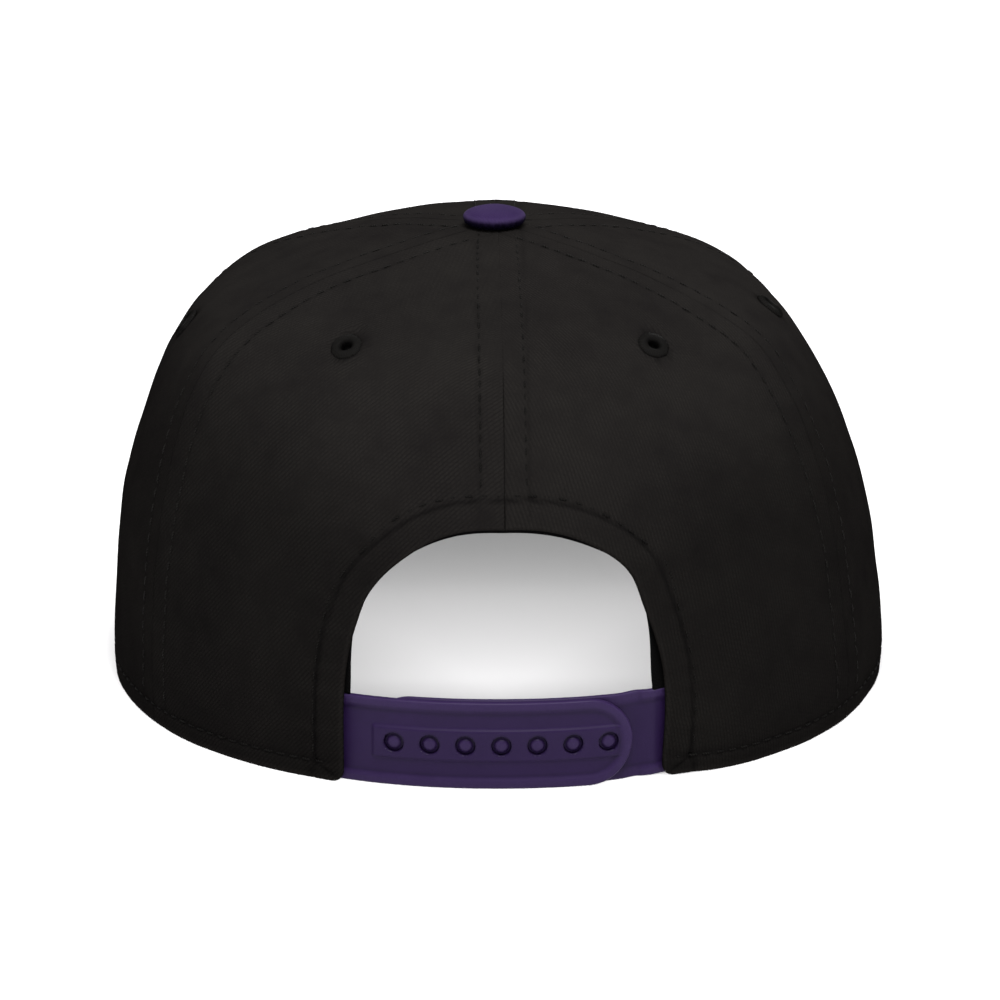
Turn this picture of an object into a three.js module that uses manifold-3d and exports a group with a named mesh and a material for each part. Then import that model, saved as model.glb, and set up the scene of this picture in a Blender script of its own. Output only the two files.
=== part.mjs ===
// A snapback cap: a crown sewn from six cloth panels with an arched opening at the back, a brim, a sweatband,
// a taped edge round the opening, six stitched eyelets, a covered button on top, and a two-part snap strap.
// Millimetres, +Z up, +Y forwards over the brim, +X to the wearer's right.
// The origin is on the surface that the cap rests on, under the middle of the cap's length and width.
import * as THREE from "three";
import { mergeVertices } from "three/addons/utils/BufferGeometryUtils.js";
import Module from "manifold-3d";

const wasm = await Module();
wasm.setup();

// Clearances between neighbouring pieces, and how far bodies that are joined reach into each other
const seamGap = 0.3;
const seatGap = 0.3;
const weld = 0.2;

// Crown
const crownHalfWidth = 87;
const crownFrontLength = 94;
const crownBackLength = 90;
const crownHeight = 101.5;
const planSquareness = 2.1;
const clothThickness = 1.8;
const topHoleRadius = 3;
const panelColumns = 10;
const panelRows = 16;

// One row for each level of the crown, from the rim to the top. height is a share of crownHeight, left and
// right are shares of crownHalfWidth, front and back of crownFrontLength and crownBackLength. facet says how
// flat a panel is between its seams, from 0, round, to 1, straight.
const crownLevels = [
  { height: 0.0, left: 0.997, right: 0.993, front: 0.985, back: 0.985, facet: 0.0 },
  { height: 0.1, left: 1.008, right: 1.008, front: 1.0, back: 1.0, facet: 0.02 },
  { height: 0.26, left: 1.0, right: 0.988, front: 1.0, back: 0.99, facet: 0.06 },
  { height: 0.42, left: 0.982, right: 0.962, front: 0.97, back: 0.95, facet: 0.12 },
  { height: 0.57, left: 0.945, right: 0.91, front: 0.92, back: 0.88, facet: 0.2 },
  { height: 0.7, left: 0.89, right: 0.836, front: 0.845, back: 0.78, facet: 0.28 },
  { height: 0.81, left: 0.795, right: 0.737, front: 0.76, back: 0.65, facet: 0.34 },
  { height: 0.895, left: 0.615, right: 0.545, front: 0.61, back: 0.5, facet: 0.36 },
  { height: 0.955, left: 0.35, right: 0.295, front: 0.385, back: 0.31, facet: 0.3 },
  { height: 1.0, left: 0.0, right: 0.0, front: 0.0, back: 0.0, facet: 0.2 },
];

// One row for each panel, in order round the crown. firstSeam is the angle of its first seam in degrees from
// +X round to +Y, and the next row's is its last. Its eyelet is eyeletTurn degrees from the panel's middle, at
// eyeletHeight, a share of crownHeight.
const panels = [
  { name: "side_right", firstSeam: -30, eyeletTurn: -2, eyeletHeight: 0.812 },
  { name: "front_right", firstSeam: 30, eyeletTurn: 0, eyeletHeight: 0.84 },
  { name: "front_left", firstSeam: 90, eyeletTurn: 0, eyeletHeight: 0.84 },
  { name: "side_left", firstSeam: 150, eyeletTurn: 0, eyeletHeight: 0.77 },
  { name: "back_left", firstSeam: 210, eyeletTurn: -1.5, eyeletHeight: 0.843 },
  { name: "back_right", firstSeam: 270, eyeletTurn: 4.7, eyeletHeight: 0.841 },
];
const panelTurn = 60;

// Opening at the back, and the tape that binds its edge on the inside
const openingHalfWidth = 33.7;
const openingHeight = 56.5;
const openingSpring = 12;
const openingSquareness = 2.5;
const openingFlare = 2;
const openingMargin = 5;
const tapeWidth = 8;
const tapeThickness = 0.8;
const tapeOverhang = 0.8;

// Brim. Each row of the outline is one point of its right half, from the end beside the ear to the middle of
// the front edge: across is a share of brimHalfWidth, forward of the distance from the origin to the tip.
const brimHalfWidth = 89.5;
const brimLength = 70;
const brimThickness = 3.4;
const brimCamber = 8;
const brimDroop = 3;
const brimFlattening = 0.2;
const brimEndAngle = 14;
const brimEndShare = 0.45;
const brimEdgeShare = 0.5;
const brimTaperTurn = 20;
const rimRiseStart = 6;
const rimRiseEnd = 12;
const brimOutline = [
  { across: 0.966, forward: 0.165 },
  { across: 0.985, forward: 0.265 },
  { across: 1.0, forward: 0.385 },
  { across: 0.985, forward: 0.53 },
  { across: 0.93, forward: 0.69 },
  { across: 0.8, forward: 0.84 },
  { across: 0.58, forward: 0.938 },
  { across: 0.3, forward: 0.985 },
  { across: 0.0, forward: 1.0 },
];

// Sweatband
const bandHeight = 32;
const bandThickness = 1.2;
const bandLift = 1.2;
const bandOverhang = 1.8;
const bandStepStart = 2;
const bandStepEnd = 14;

// Snap strap
const strapHeight = 19.5;
const strapThickness = 1.2;
const strapRelief = 0.5;
const strapBorder = 2.2;
const strapLift = 0.2;
const strapTab = 13;
const strapUnderWall = 1;
const socketTip = 28.2;
const studTip = 30;
const ribHalfHeight = 3.5;
const ribStart = -27;
const ribMargin = 1;
const borderMargin = 2;
const studCount = 7;
const studSpacing = 7.5;
const studOffset = -0.6;
const studRadius = 1.6;
const studRecess = 0.3;
const holeRadius = 2.35;

// Eyelets
const eyeletRadius = 3.4;
const eyeletHole = 1;
const eyeletSleeve = 1.8;
const eyeletThickness = 0.9;
const eyeletEdge = 0.4;

// Button
const buttonRadius = 6.5;
const buttonHeight = 3.5;
const buttonStem = 2.2;
const buttonStemLength = 5;
const buttonEdge = 1;

const radians = THREE.MathUtils.degToRad;
const clamp = THREE.MathUtils.clamp;
const lerp = THREE.MathUtils.lerp;
const smooth = THREE.MathUtils.smoothstep;
const power = (value, exponent) => Math.sign(value) * Math.abs(value) ** exponent;

// The value of one column of a table at row t, on a Catmull-Rom curve through all the rows.
function along(table, column, t) {
  const last = table.length - 1;
  const row = clamp(Math.floor(t), 0, last - 1);
  const at = (k) => {
    if (k < 0) return 2 * table[0][column] - table[1][column];
    if (k > last) return 2 * table[last][column] - table[last - 1][column];
    return table[k][column];
  };
  const [a, b, c, d] = [at(row - 1), at(row), at(row + 1), at(row + 2)];
  const f = t - row;
  const bend = (2 * a - 5 * b + 4 * c - d) * f * f + (3 * b - a - 3 * c + d) * f * f * f;
  return 0.5 * (2 * b + (c - a) * f + bend);
}

// The parameter between low and high where a rising function reaches value.
function solve(rising, value, low, high) {
  for (let step = 0; step < 40; step += 1) {
    const middle = (low + high) / 2;
    if (rising(middle) < value) low = middle;
    else high = middle;
  }
  return (low + high) / 2;
}

// The crown's outer surface. angle is in degrees from +X round to +Y, and level runs from 0 at the rim to the
// last row of crownLevels at the top. Each level is a rounded rectangle that is a little flat between seams.
const topLevel = crownLevels.length - 1;
function crownPoint(angle, level) {
  const share = (column) => along(crownLevels, column, level);
  const [c, s] = [Math.cos(radians(angle)), Math.sin(radians(angle))];
  const across = crownHalfWidth * share(c > 0 ? "right" : "left");
  const forward = s > 0 ? crownFrontLength * share("front") : crownBackLength * share("back");
  const sincePanel = (angle - panels[0].firstSeam + 360) % panelTurn;
  const offMiddle = radians(sincePanel - panelTurn / 2);
  const flat = 1 - Math.cos(radians(panelTurn / 2)) / Math.cos(offMiddle);
  const draw = 1 - share("facet") * flat;
  const rounded = 2 / planSquareness;
  return new THREE.Vector3(
    across * power(c, rounded) * draw,
    forward * power(s, rounded) * draw,
    crownHeight * share("height"),
  );
}

function crownNormal(angle, level) {
  const turn = 0.5;
  const step = 0.02;
  const sideways = crownPoint(angle + turn, level).sub(crownPoint(angle - turn, level));
  const low = Math.max(level - step, 0);
  const high = Math.min(level + step, topLevel);
  const upwards = crownPoint(angle, high).sub(crownPoint(angle, low));
  return sideways.cross(upwards).normalize();
}

// A point at a depth under the crown's outer surface. Along the rim it stays at the rim's own height.
function crownInset(angle, level, depth) {
  const normal = crownNormal(angle, level);
  if (level < 0.01) normal.setZ(0).normalize();
  return crownPoint(angle, level).addScaledVector(normal, -depth);
}

const levelAtHeight = (height) =>
  solve((t) => crownHeight * along(crownLevels, "height", t), height, 0, topLevel);

// The angle at the back where the crown is x to the right of the middle at that height.
const backSeam = 270;
const frontSeam = 90;
function backAngleAt(x, height) {
  const level = levelAtHeight(height);
  const from = x < 0 ? backSeam - 90 : backSeam;
  return solve((angle) => crownPoint(angle, level).x, x, from, from + 90);
}

// Brim's underside, arched across its width and drooping towards the tip, and its thickness.
const brimTip = crownFrontLength + brimLength;
const brimSides = brimOutline[2].forward * brimTip;
function brimUnderside(x, y) {
  const arch = brimCamber * Math.max(0, 1 - (x / brimHalfWidth) ** 2);
  const reach = Math.max(0, y - brimSides) / (brimTip - brimSides);
  return arch * (1 - reach * brimFlattening) - brimDroop * reach * reach * (arch / brimCamber);
}
const turnFromSide = (angle) => Math.min(angle, 180 - angle);
function brimThicknessAt(angle) {
  const full = smooth(turnFromSide(angle), brimEndAngle, brimEndAngle + brimTaperTurn);
  return brimThickness * lerp(brimEndShare, 1, full);
}

// Height of the crown's lower edge: level at the back and sides, and on top of the brim at the front.
const rimRise = (angle) =>
  clamp((turnFromSide(angle) - rimRiseStart) / (rimRiseEnd - rimRiseStart), 0, 1);
function rimHeight(angle) {
  const rim = crownPoint(angle, 0);
  const onBrim = brimUnderside(rim.x, rim.y) + brimThicknessAt(angle) + seatGap;
  return onBrim * rimRise(angle);
}

// A closed wall between two grids of points. outer and inner are functions of u and v from 0 to 1, where u
// runs to the right as seen from outside, with v upwards.
function wall(columns, rows, outer, inner) {
  const positions = [];
  const indices = [];
  const across = rows + 1;
  const layer = (columns + 1) * across;
  for (const surface of [outer, inner]) {
    for (let i = 0; i <= columns; i += 1) {
      for (let j = 0; j <= rows; j += 1) positions.push(...surface(i / columns, j / rows).toArray());
    }
  }
  const quad = (a, b, c, d) => indices.push(a, b, c, a, c, d);
  const at = (i, j, side) => side * layer + i * across + j;
  for (let i = 0; i < columns; i += 1) {
    for (let j = 0; j < rows; j += 1) {
      quad(at(i, j, 0), at(i + 1, j, 0), at(i + 1, j + 1, 0), at(i, j + 1, 0));
      quad(at(i, j, 1), at(i, j + 1, 1), at(i + 1, j + 1, 1), at(i + 1, j, 1));
    }
    quad(at(i, 0, 1), at(i + 1, 0, 1), at(i + 1, 0, 0), at(i, 0, 0));
    quad(at(i, rows, 0), at(i + 1, rows, 0), at(i + 1, rows, 1), at(i, rows, 1));
  }
  for (let j = 0; j < rows; j += 1) {
    quad(at(0, j, 1), at(0, j, 0), at(0, j + 1, 0), at(0, j + 1, 1));
    quad(at(columns, j, 0), at(columns, j, 1), at(columns, j + 1, 1), at(columns, j + 1, 0));
  }
  const geometry = new THREE.BufferGeometry();
  geometry.setAttribute("position", new THREE.Float32BufferAttribute(positions, 3));
  geometry.setIndex(indices);
  return geometry;
}

// Between three.js geometry and manifold-3d solids, for the cuts and joins.
function solid(geometry) {
  const bare = geometry.clone();
  bare.deleteAttribute("normal");
  bare.deleteAttribute("uv");
  const merged = mergeVertices(bare, 1e-4);
  return new wasm.Manifold(
    new wasm.Mesh({
      numProp: 3,
      vertProperties: new Float32Array(merged.attributes.position.array),
      triVerts: new Uint32Array(merged.index.array),
    }),
  );
}
function surface(body) {
  const mesh = body.getMesh();
  const geometry = new THREE.BufferGeometry();
  geometry.setAttribute("position", new THREE.Float32BufferAttribute(mesh.vertProperties, 3));
  geometry.setIndex([...mesh.triVerts]);
  return geometry;
}

// A cylinder or lathe solid is made along +Y, then turned so that +Y lies along an axis and moved to a place.
function stand(geometry, axis, place) {
  const turn = new THREE.Quaternion().setFromUnitVectors(new THREE.Vector3(0, 1, 0), axis);
  return geometry.applyQuaternion(turn).translate(place.x, place.y, place.z);
}

// Materials
const finish = (color, roughness, metalness = 0) =>
  new THREE.MeshStandardMaterial({ color, roughness, metalness });
const cloth = finish(0x262523, 0.95);
const purpleCloth = finish(0x3b2c58, 0.95);
const bandCloth = finish(0x1d1c1d, 0.9);
const purplePlastic = finish(0x372b50, 0.5);
const thread = finish(0x1c1b1a, 0.85);

const cap = new THREE.Group();
function add(name, geometry, material) {
  const mesh = new THREE.Mesh(geometry, material);
  mesh.name = name;
  cap.add(mesh);
}

// Outline of the opening at the back: half its width at a height, and the same round the arch as a path that
// runs from 0 at the lower left to 1 at the lower right.
const archRise = openingHeight - openingSpring;
function openingPath(share, grow) {
  const turn = Math.PI * (1 - share);
  const rounded = 2 / openingSquareness;
  const x = (openingHalfWidth + grow) * power(Math.cos(turn), rounded);
  const z = openingSpring + (archRise + grow) * Math.abs(Math.sin(turn)) ** rounded;
  return new THREE.Vector2(x, z);
}

// The prism that cuts the arch out of the two back panels.
function openingCutter() {
  const steps = 40;
  const foot = openingHalfWidth + openingFlare;
  const outline = [new THREE.Vector2(-foot, -openingMargin)];
  for (let step = 0; step <= steps; step += 1) outline.push(openingPath(step / steps, 0));
  outline.push(new THREE.Vector2(foot, -openingMargin));
  const depth = crownBackLength + openingMargin;
  const prism = new THREE.ExtrudeGeometry(new THREE.Shape(outline), { depth, bevelEnabled: false });
  return solid(prism.rotateX(Math.PI / 2));
}

// Crown panels: the cloth between two seams, from its lower edge to the small hole under the button.
const levelAtRadius = (radius) =>
  topLevel - radius / (crownLevels[topLevel - 1].back * crownBackLength);
const crownTop = levelAtRadius(topHoleRadius);
function panel(firstSeam, lastSeam) {
  const at = (u, v, depth) => {
    const middle = lerp(firstSeam, lastSeam, u);
    const level = lerp(levelAtHeight(rimHeight(middle)), crownTop, v);
    const radius = crownPoint(middle, level).setZ(0).length();
    const trim = THREE.MathUtils.radToDeg(seamGap / 2 / radius);
    return crownInset(lerp(firstSeam + trim, lastSeam - trim, u), level, depth);
  };
  return wall(
    panelColumns,
    panelRows,
    (u, v) => at(u, v, 0),
    (u, v) => {
      const inside = at(u, v, clothThickness);
      return v === 0 ? inside.setZ(at(u, v, 0).z) : inside;
    },
  );
}

// Where an eyelet sits, and the way it faces.
function eyeletSeat({ firstSeam, eyeletTurn, eyeletHeight }) {
  const angle = firstSeam + panelTurn / 2 + eyeletTurn;
  const level = levelAtHeight(eyeletHeight * crownHeight);
  return { place: crownPoint(angle, level), axis: crownNormal(angle, level) };
}

const arch = openingCutter();
for (const row of panels) {
  const { place, axis } = eyeletSeat(row);
  const radius = eyeletSleeve + seatGap;
  const hole = new THREE.CylinderGeometry(radius, radius, 4 * clothThickness, 12);
  let body = solid(panel(row.firstSeam, row.firstSeam + panelTurn));
  body = body.subtract(solid(stand(hole, axis, place)));
  if (row.name.startsWith("back")) body = body.subtract(arch);
  add("panel_" + row.name, surface(body), cloth);
}

// Eyelets: a stitched ring with a flange on the outside and a sleeve through the panel's hole.
for (const row of panels) {
  const { place, axis } = eyeletSeat(row);
  const inside = -clothThickness;
  const outside = seatGap + eyeletThickness;
  const profile = [
    [eyeletHole, inside],
    [eyeletSleeve, inside],
    [eyeletSleeve, seatGap],
    [eyeletRadius, seatGap],
    [eyeletRadius, seatGap + eyeletEdge],
    [(eyeletSleeve + eyeletRadius) / 2, outside],
    [eyeletSleeve, outside],
    [eyeletHole, outside - eyeletEdge],
    [eyeletHole, inside],
  ].map(([radius, height]) => new THREE.Vector2(radius, height));
  add("eyelet_" + row.name, stand(new THREE.LatheGeometry(profile, 12), axis, place), thread);
}

// Button: a cloth-covered dome whose stem passes through the hole where the panels meet.
function button() {
  const frontShare = (radius) => radius / (crownLevels[topLevel - 1].front * crownFrontLength);
  const surfaceAt = (radius) => crownPoint(frontSeam, topLevel - frontShare(radius)).z + seatGap;
  const base = surfaceAt(buttonRadius);
  const top = surfaceAt(0) + buttonHeight;
  const profile = [
    new THREE.Vector2(0, base - buttonStemLength),
    new THREE.Vector2(buttonStem, base - buttonStemLength),
    new THREE.Vector2(buttonStem, surfaceAt(0)),
    new THREE.Vector2(buttonRadius - buttonEdge / 2, base),
  ];
  const domeSteps = 7;
  const rise = top - base - buttonEdge;
  for (let step = 0; step <= domeSteps; step += 1) {
    const turn = (Math.PI / 2) * (step / domeSteps);
    const height = base + buttonEdge + rise * Math.sin(turn);
    profile.push(new THREE.Vector2(buttonRadius * Math.cos(turn), height));
  }
  profile[profile.length - 1].x = 0;
  return new THREE.LatheGeometry(profile, 24).rotateX(Math.PI / 2);
}
add("top_button", button(), purpleCloth);

// Brim: a flat board in cloth, ruled from the crown's lower edge out to the outline.
function brim() {
  const columns = 40;
  const rows = 7;
  const half = brimOutline.length - 1;
  const at = (u, v, side) => {
    const angle = lerp(brimEndAngle, 180 - brimEndAngle, u);
    const inner = crownInset(angle, levelAtHeight(rimHeight(angle)), clothThickness);
    const row = (1 - Math.abs(2 * u - 1)) * half;
    const reach = along(brimOutline, "across", row) * brimHalfWidth * (u > 0.5 ? -1 : 1);
    const ahead = along(brimOutline, "forward", row) * brimTip;
    const [x, y] = [lerp(inner.x, reach, v), lerp(inner.y, ahead, v)];
    const edge = v === 1 ? brimEdgeShare : 1;
    const height = brimThicknessAt(angle) * (0.5 + edge * (side - 0.5));
    return new THREE.Vector3(x, y, brimUnderside(x, y) + height);
  };
  return wall(
    columns,
    rows,
    (u, v) => at(u, v, 0),
    (u, v) => at(u, v, 1),
  );
}
add("brim", brim(), purpleCloth);

// Depth of the strap's face under the crown's outline. The crown's wall is over it, and is drawn in a little.
const coverDepth = clothThickness + seatGap + strapUnderWall;

// Sweatband: one strip inside the rim from side to side of the opening. It steps in where the strap's sewn
// ends and the tape lie behind it, and its lower edge follows the brim.
const bandEnd = backAngleAt(openingHalfWidth - bandOverhang, bandHeight / 2) - 360;
function sweatband() {
  const columns = 52;
  const rows = 3;
  const at = (u, v, depth) => {
    const angle = lerp(bandEnd, 180 - bandEnd, u);
    const rim = crownPoint(angle, 0);
    const low = bandLift + brimUnderside(rim.x, rim.y) * rimRise(angle);
    const beside = Math.abs(rim.x) - openingHalfWidth - strapTab;
    const step = rim.y < 0 ? 1 - smooth(beside, bandStepStart, bandStepEnd) : 0;
    const behind = lerp(clothThickness, coverDepth + strapThickness, step) + seatGap;
    const level = levelAtHeight(lerp(low, low + bandHeight, v));
    return crownInset(angle, Math.max(level, 0.02), behind + depth);
  };
  return wall(
    columns,
    rows,
    (u, v) => at(u, v, 0),
    (u, v) => at(u, v, bandThickness),
  );
}
add("sweatband", sweatband(), bandCloth);

// Tape along the inside of the opening's edge, from above the strap on one side to the other.
function openingTape() {
  const columns = 40;
  const foot = strapLift + strapHeight + seatGap;
  const start = solve((share) => openingPath(share, 0).y, foot, 0, 0.5);
  const at = (u, v, depth) => {
    const path = openingPath(lerp(1 - start, start, u), lerp(-tapeOverhang, tapeWidth, v));
    const height = Math.max(path.y, foot);
    const side = backAngleAt(path.x, height);
    return crownInset(side, levelAtHeight(height), clothThickness + seatGap + depth);
  };
  return wall(
    columns,
    1,
    (u, v) => at(u, v, tapeThickness),
    (u, v) => at(u, v, 0),
  );
}
add("opening_tape", openingTape(), bandCloth);

// Snap strap. x runs along the strap across the opening, and depth is measured inwards from the crown's
// outline at the back, so both halves follow the crown's curve.
function strapPoint(x, depth, height) {
  const share = Math.abs(x) / crownHalfWidth;
  const y = -crownBackLength * (1 - share ** planSquareness) ** (1 / planSquareness);
  const slope = share ** (planSquareness - 1) / crownHalfWidth;
  const normal = new THREE.Vector3(
    Math.sign(x) * slope,
    -((Math.abs(y) / crownBackLength) ** (planSquareness - 1)) / crownBackLength,
    0,
  ).normalize();
  return { place: new THREE.Vector3(x, y, height).addScaledVector(normal, -depth), normal };
}

// A plate of the strap between two depths, given as functions of x. It runs from a straight tail to a tip
// that is a half circle, and its outline is drawn in by an inset.
const strapMiddle = strapLift + strapHeight / 2;
function strapPlate(tail, tip, inset, near, far) {
  const columns = 36;
  const straightShare = 2 / 3;
  const towards = Math.sign(tip);
  const radius = strapHeight / 2 - inset;
  const bend = tip - (towards * strapHeight) / 2;
  const at = (u, v, depth) => {
    const run = towards > 0 ? u : 1 - u;
    const turn = (Math.PI / 2) * Math.max(0, (run - straightShare) / (1 - straightShare));
    const x = lerp(tail, bend, Math.min(1, run / straightShare)) + towards * radius * Math.sin(turn);
    const half = Math.max(radius * Math.cos(turn), weld);
    return strapPoint(x, depth(x), strapMiddle + half * (2 * v - 1)).place;
  };
  return solid(
    wall(
      columns,
      1,
      (u, v) => at(u, v, near),
      (u, v) => at(u, v, far),
    ),
  );
}

// A straight bar along the middle of the strap, between two depths.
function strapBar(from, to, half, near, far) {
  const columns = 24;
  const at = (u, v, depth) =>
    strapPoint(lerp(from, to, u), depth, strapMiddle + half * (2 * v - 1)).place;
  return solid(
    wall(
      columns,
      1,
      (u, v) => at(u, v, near),
      (u, v) => at(u, v, far),
    ),
  );
}

// A round pin through the strap at x, between two depths.
function pin(x, radius, near, far) {
  const { place, normal } = strapPoint(x, (near + far) / 2, strapMiddle);
  return solid(stand(new THREE.CylinderGeometry(radius, radius, far - near, 12), normal, place));
}

function studPlaces() {
  const first = studOffset - (studSpacing * (studCount - 1)) / 2;
  return Array.from({ length: studCount }, (_, k) => first + studSpacing * k);
}

// Socket half: sewn in at the left, over the stud half, with raised borders and a raised bar with the holes.
const tail = openingHalfWidth + strapTab;
const raised = coverDepth - strapRelief;
const outside = raised - strapRelief;
function socketStrap() {
  const level = (depth) => () => depth;
  const start = borderMargin - openingHalfWidth;
  const back = coverDepth + strapThickness;
  const plate = strapPlate(-tail, socketTip, 0, level(coverDepth), level(back));
  const border = strapPlate(start, socketTip, 0, level(raised), level(coverDepth + weld));
  const recess = strapPlate(start - weld, socketTip, strapBorder, level(outside), level(coverDepth));
  const ribEnd = socketTip - ribMargin;
  const rib = strapBar(ribStart, ribEnd, ribHalfHeight, raised, coverDepth + weld);
  let body = plate.add(border).subtract(recess).add(rib);
  for (const x of studPlaces()) body = body.subtract(pin(x, holeRadius, outside, back + weld));
  return surface(body);
}

// Stud half: sewn in at the right, bent inwards behind the socket half, with a row of studs in its holes.
function studStrap() {
  const behind = strapThickness + seatGap;
  const out = (x) => smooth(x, socketTip + seatGap, openingHalfWidth) * behind;
  const near = (x) => coverDepth + behind - out(x);
  const far = (x) => near(x) + strapThickness;
  let body = strapPlate(tail, -studTip, 0, near, far);
  for (const x of studPlaces()) {
    body = body.add(pin(x, studRadius, raised + studRecess, coverDepth + behind + weld));
  }
  return surface(body);
}
add("strap_sockets", socketStrap(), purplePlastic);
add("strap_studs", studStrap(), purplePlastic);

// The pieces are shaped round the crown's own upright axis, then moved together to the cap's origin.
const middle = new THREE.Box3().setFromObject(cap).getCenter(new THREE.Vector3());
for (const mesh of cap.children) mesh.geometry.translate(0, -middle.y, 0);

export default cap;
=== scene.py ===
import bpy
import numpy as np
from mathutils import Matrix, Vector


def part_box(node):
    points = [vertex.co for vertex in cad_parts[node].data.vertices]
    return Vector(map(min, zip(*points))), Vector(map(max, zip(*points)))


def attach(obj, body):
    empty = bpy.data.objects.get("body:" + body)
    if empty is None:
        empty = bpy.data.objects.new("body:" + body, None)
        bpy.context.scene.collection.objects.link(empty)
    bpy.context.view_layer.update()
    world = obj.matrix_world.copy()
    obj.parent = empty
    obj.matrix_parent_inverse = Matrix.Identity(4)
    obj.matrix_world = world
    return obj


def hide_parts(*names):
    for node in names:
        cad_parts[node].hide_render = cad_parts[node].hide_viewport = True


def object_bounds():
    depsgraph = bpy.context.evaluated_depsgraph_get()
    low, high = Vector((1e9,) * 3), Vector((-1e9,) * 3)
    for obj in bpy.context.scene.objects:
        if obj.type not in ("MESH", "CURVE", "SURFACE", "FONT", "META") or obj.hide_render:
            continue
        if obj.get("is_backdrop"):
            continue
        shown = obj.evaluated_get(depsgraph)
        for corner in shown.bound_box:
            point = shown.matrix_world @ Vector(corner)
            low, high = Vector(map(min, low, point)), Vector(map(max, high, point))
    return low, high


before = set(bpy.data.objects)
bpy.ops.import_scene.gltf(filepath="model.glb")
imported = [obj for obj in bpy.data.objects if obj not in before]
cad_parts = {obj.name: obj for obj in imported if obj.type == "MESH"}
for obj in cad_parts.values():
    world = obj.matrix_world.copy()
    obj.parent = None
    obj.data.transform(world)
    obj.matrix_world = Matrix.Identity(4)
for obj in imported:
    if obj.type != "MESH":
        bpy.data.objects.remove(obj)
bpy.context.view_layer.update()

# The studio
# The cap stands on a pale light table in a white room, seen from behind and a little above with a long lens.
# Shapes are worked out in millimetres round the crown's upright axis, which stands behind the origin.
button_low, button_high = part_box("top_button")
axis_y = 500 * (button_low.y + button_high.y)


def aim_camera(turn, tilt, distance, lens, target, slide, drop):
    """Stands back from the target along a line turned about Z and tilted down, and aims beside it by slide and drop."""
    turn, tilt = np.radians(turn), np.radians(tilt)
    right = np.array([np.cos(turn), np.sin(turn), 0])
    ahead = np.array([-np.sin(turn) * np.cos(tilt), np.cos(turn) * np.cos(tilt), -np.sin(tilt)])
    above = np.cross(right, ahead)
    place = target - distance * ahead
    ahead = target + slide * right - drop * above - place
    ahead /= np.linalg.norm(ahead)
    right = np.cross(ahead, (0, 0, 1))
    right /= np.linalg.norm(right)
    above = np.cross(right, ahead)
    data = bpy.data.cameras.new("camera")
    data.lens, data.sensor_width = lens, 36
    data.clip_start, data.clip_end = 0.05, 20
    camera = bpy.data.objects.new("camera", data)
    camera.matrix_world = Matrix([[*row] for row in np.column_stack([right, above, -ahead, place])] + [[0, 0, 0, 1]])
    bpy.context.scene.collection.objects.link(camera)
    bpy.context.scene.camera = camera


aim_camera(
    turn=-0.6,
    tilt=18,
    distance=1.1,
    lens=174.64,
    target=np.array([0, axis_y / 1000, 0.04]),
    slide=0.0004535,
    drop=0.003605,
)


def soft_box(name, place, target, width, height, power):
    """A lamp of that width and height, turned to shine from its place to the target. Gives the lamp."""
    data = bpy.data.lights.new(name, "AREA")
    data.shape, data.size, data.size_y, data.energy = "RECTANGLE", width, height, power
    back = np.array(place, float) - target
    back /= np.linalg.norm(back)
    side = np.cross((0, 0, 1), back)
    side /= np.linalg.norm(side)
    lamp = bpy.data.objects.new(name, data)
    rows = np.column_stack([side, np.cross(back, side), back, place])
    lamp.matrix_world = Matrix([[*row] for row in rows] + [[0, 0, 0, 1]])
    bpy.context.scene.collection.objects.link(lamp)
    return lamp


soft_box("overhead_lamp", (0.15, -0.8, 1.8), (0, 0, 0), 0.9, 0.9, 60)
soft_box("front_lamp", (0.5, 1.6, 1.2), (0, 0, 0), 1.2, 1.2, 24)
low_lamp = soft_box("low_lamp", (0, -2.05, 0.765), (0, 0, 0), 2.4, 0.32, 760)

room = bpy.data.worlds.new("white_room")
room.use_nodes = True
room.node_tree.nodes["Background"].inputs["Color"].default_value = (1, 1, 1, 1)
room.node_tree.nodes["Background"].inputs["Strength"].default_value = 0.8
bpy.context.scene.world = room
bpy.context.scene.view_settings.view_transform = "Standard"

table_top = bpy.data.meshes.new("light_table")
TABLE_HALF = 4
table_corners = [(TABLE_HALF * x, TABLE_HALF * y, 0) for x, y in ((-1, -1), (1, -1), (1, 1), (-1, 1))]
table_top.from_pydata(table_corners, [], [(0, 1, 2, 3)])
table = bpy.data.objects.new("light_table", table_top)
bpy.context.scene.collection.objects.link(table)
table_paint = bpy.data.materials.new("light_table")
table_paint.use_nodes = True
table_nodes, table_links = table_paint.node_tree.nodes, table_paint.node_tree.links
table_shader = table_nodes["Principled BSDF"]
table_shader.inputs["Base Color"].default_value = (0.15, 0.148, 0.15, 1)
table_shader.inputs["Roughness"].default_value = 1
table_shader.inputs["Specular IOR Level"].default_value = 0
table_shader.inputs["Emission Strength"].default_value = 1
# the table glows less in its middle, under the crown: a painted shadow of the crown on the table
spot = table_nodes.new("ShaderNodeTexCoord")
radius = table_nodes.new("ShaderNodeVectorMath")
radius.operation = "DISTANCE"
radius.inputs[1].default_value = (0, axis_y / 1000, 0)
glow_shadowed_under_crown = table_nodes.new("ShaderNodeMapRange")
for socket, amount in (("From Min", 0.088), ("From Max", 0.106), ("To Min", 0.26), ("To Max", 0.86)):
    glow_shadowed_under_crown.inputs[socket].default_value = amount
table_links.new(spot.outputs["Object"], radius.inputs[0])
table_links.new(radius.outputs["Value"], glow_shadowed_under_crown.inputs["Value"])
table_links.new(glow_shadowed_under_crown.outputs["Result"], table_shader.inputs["Emission Color"])
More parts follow.
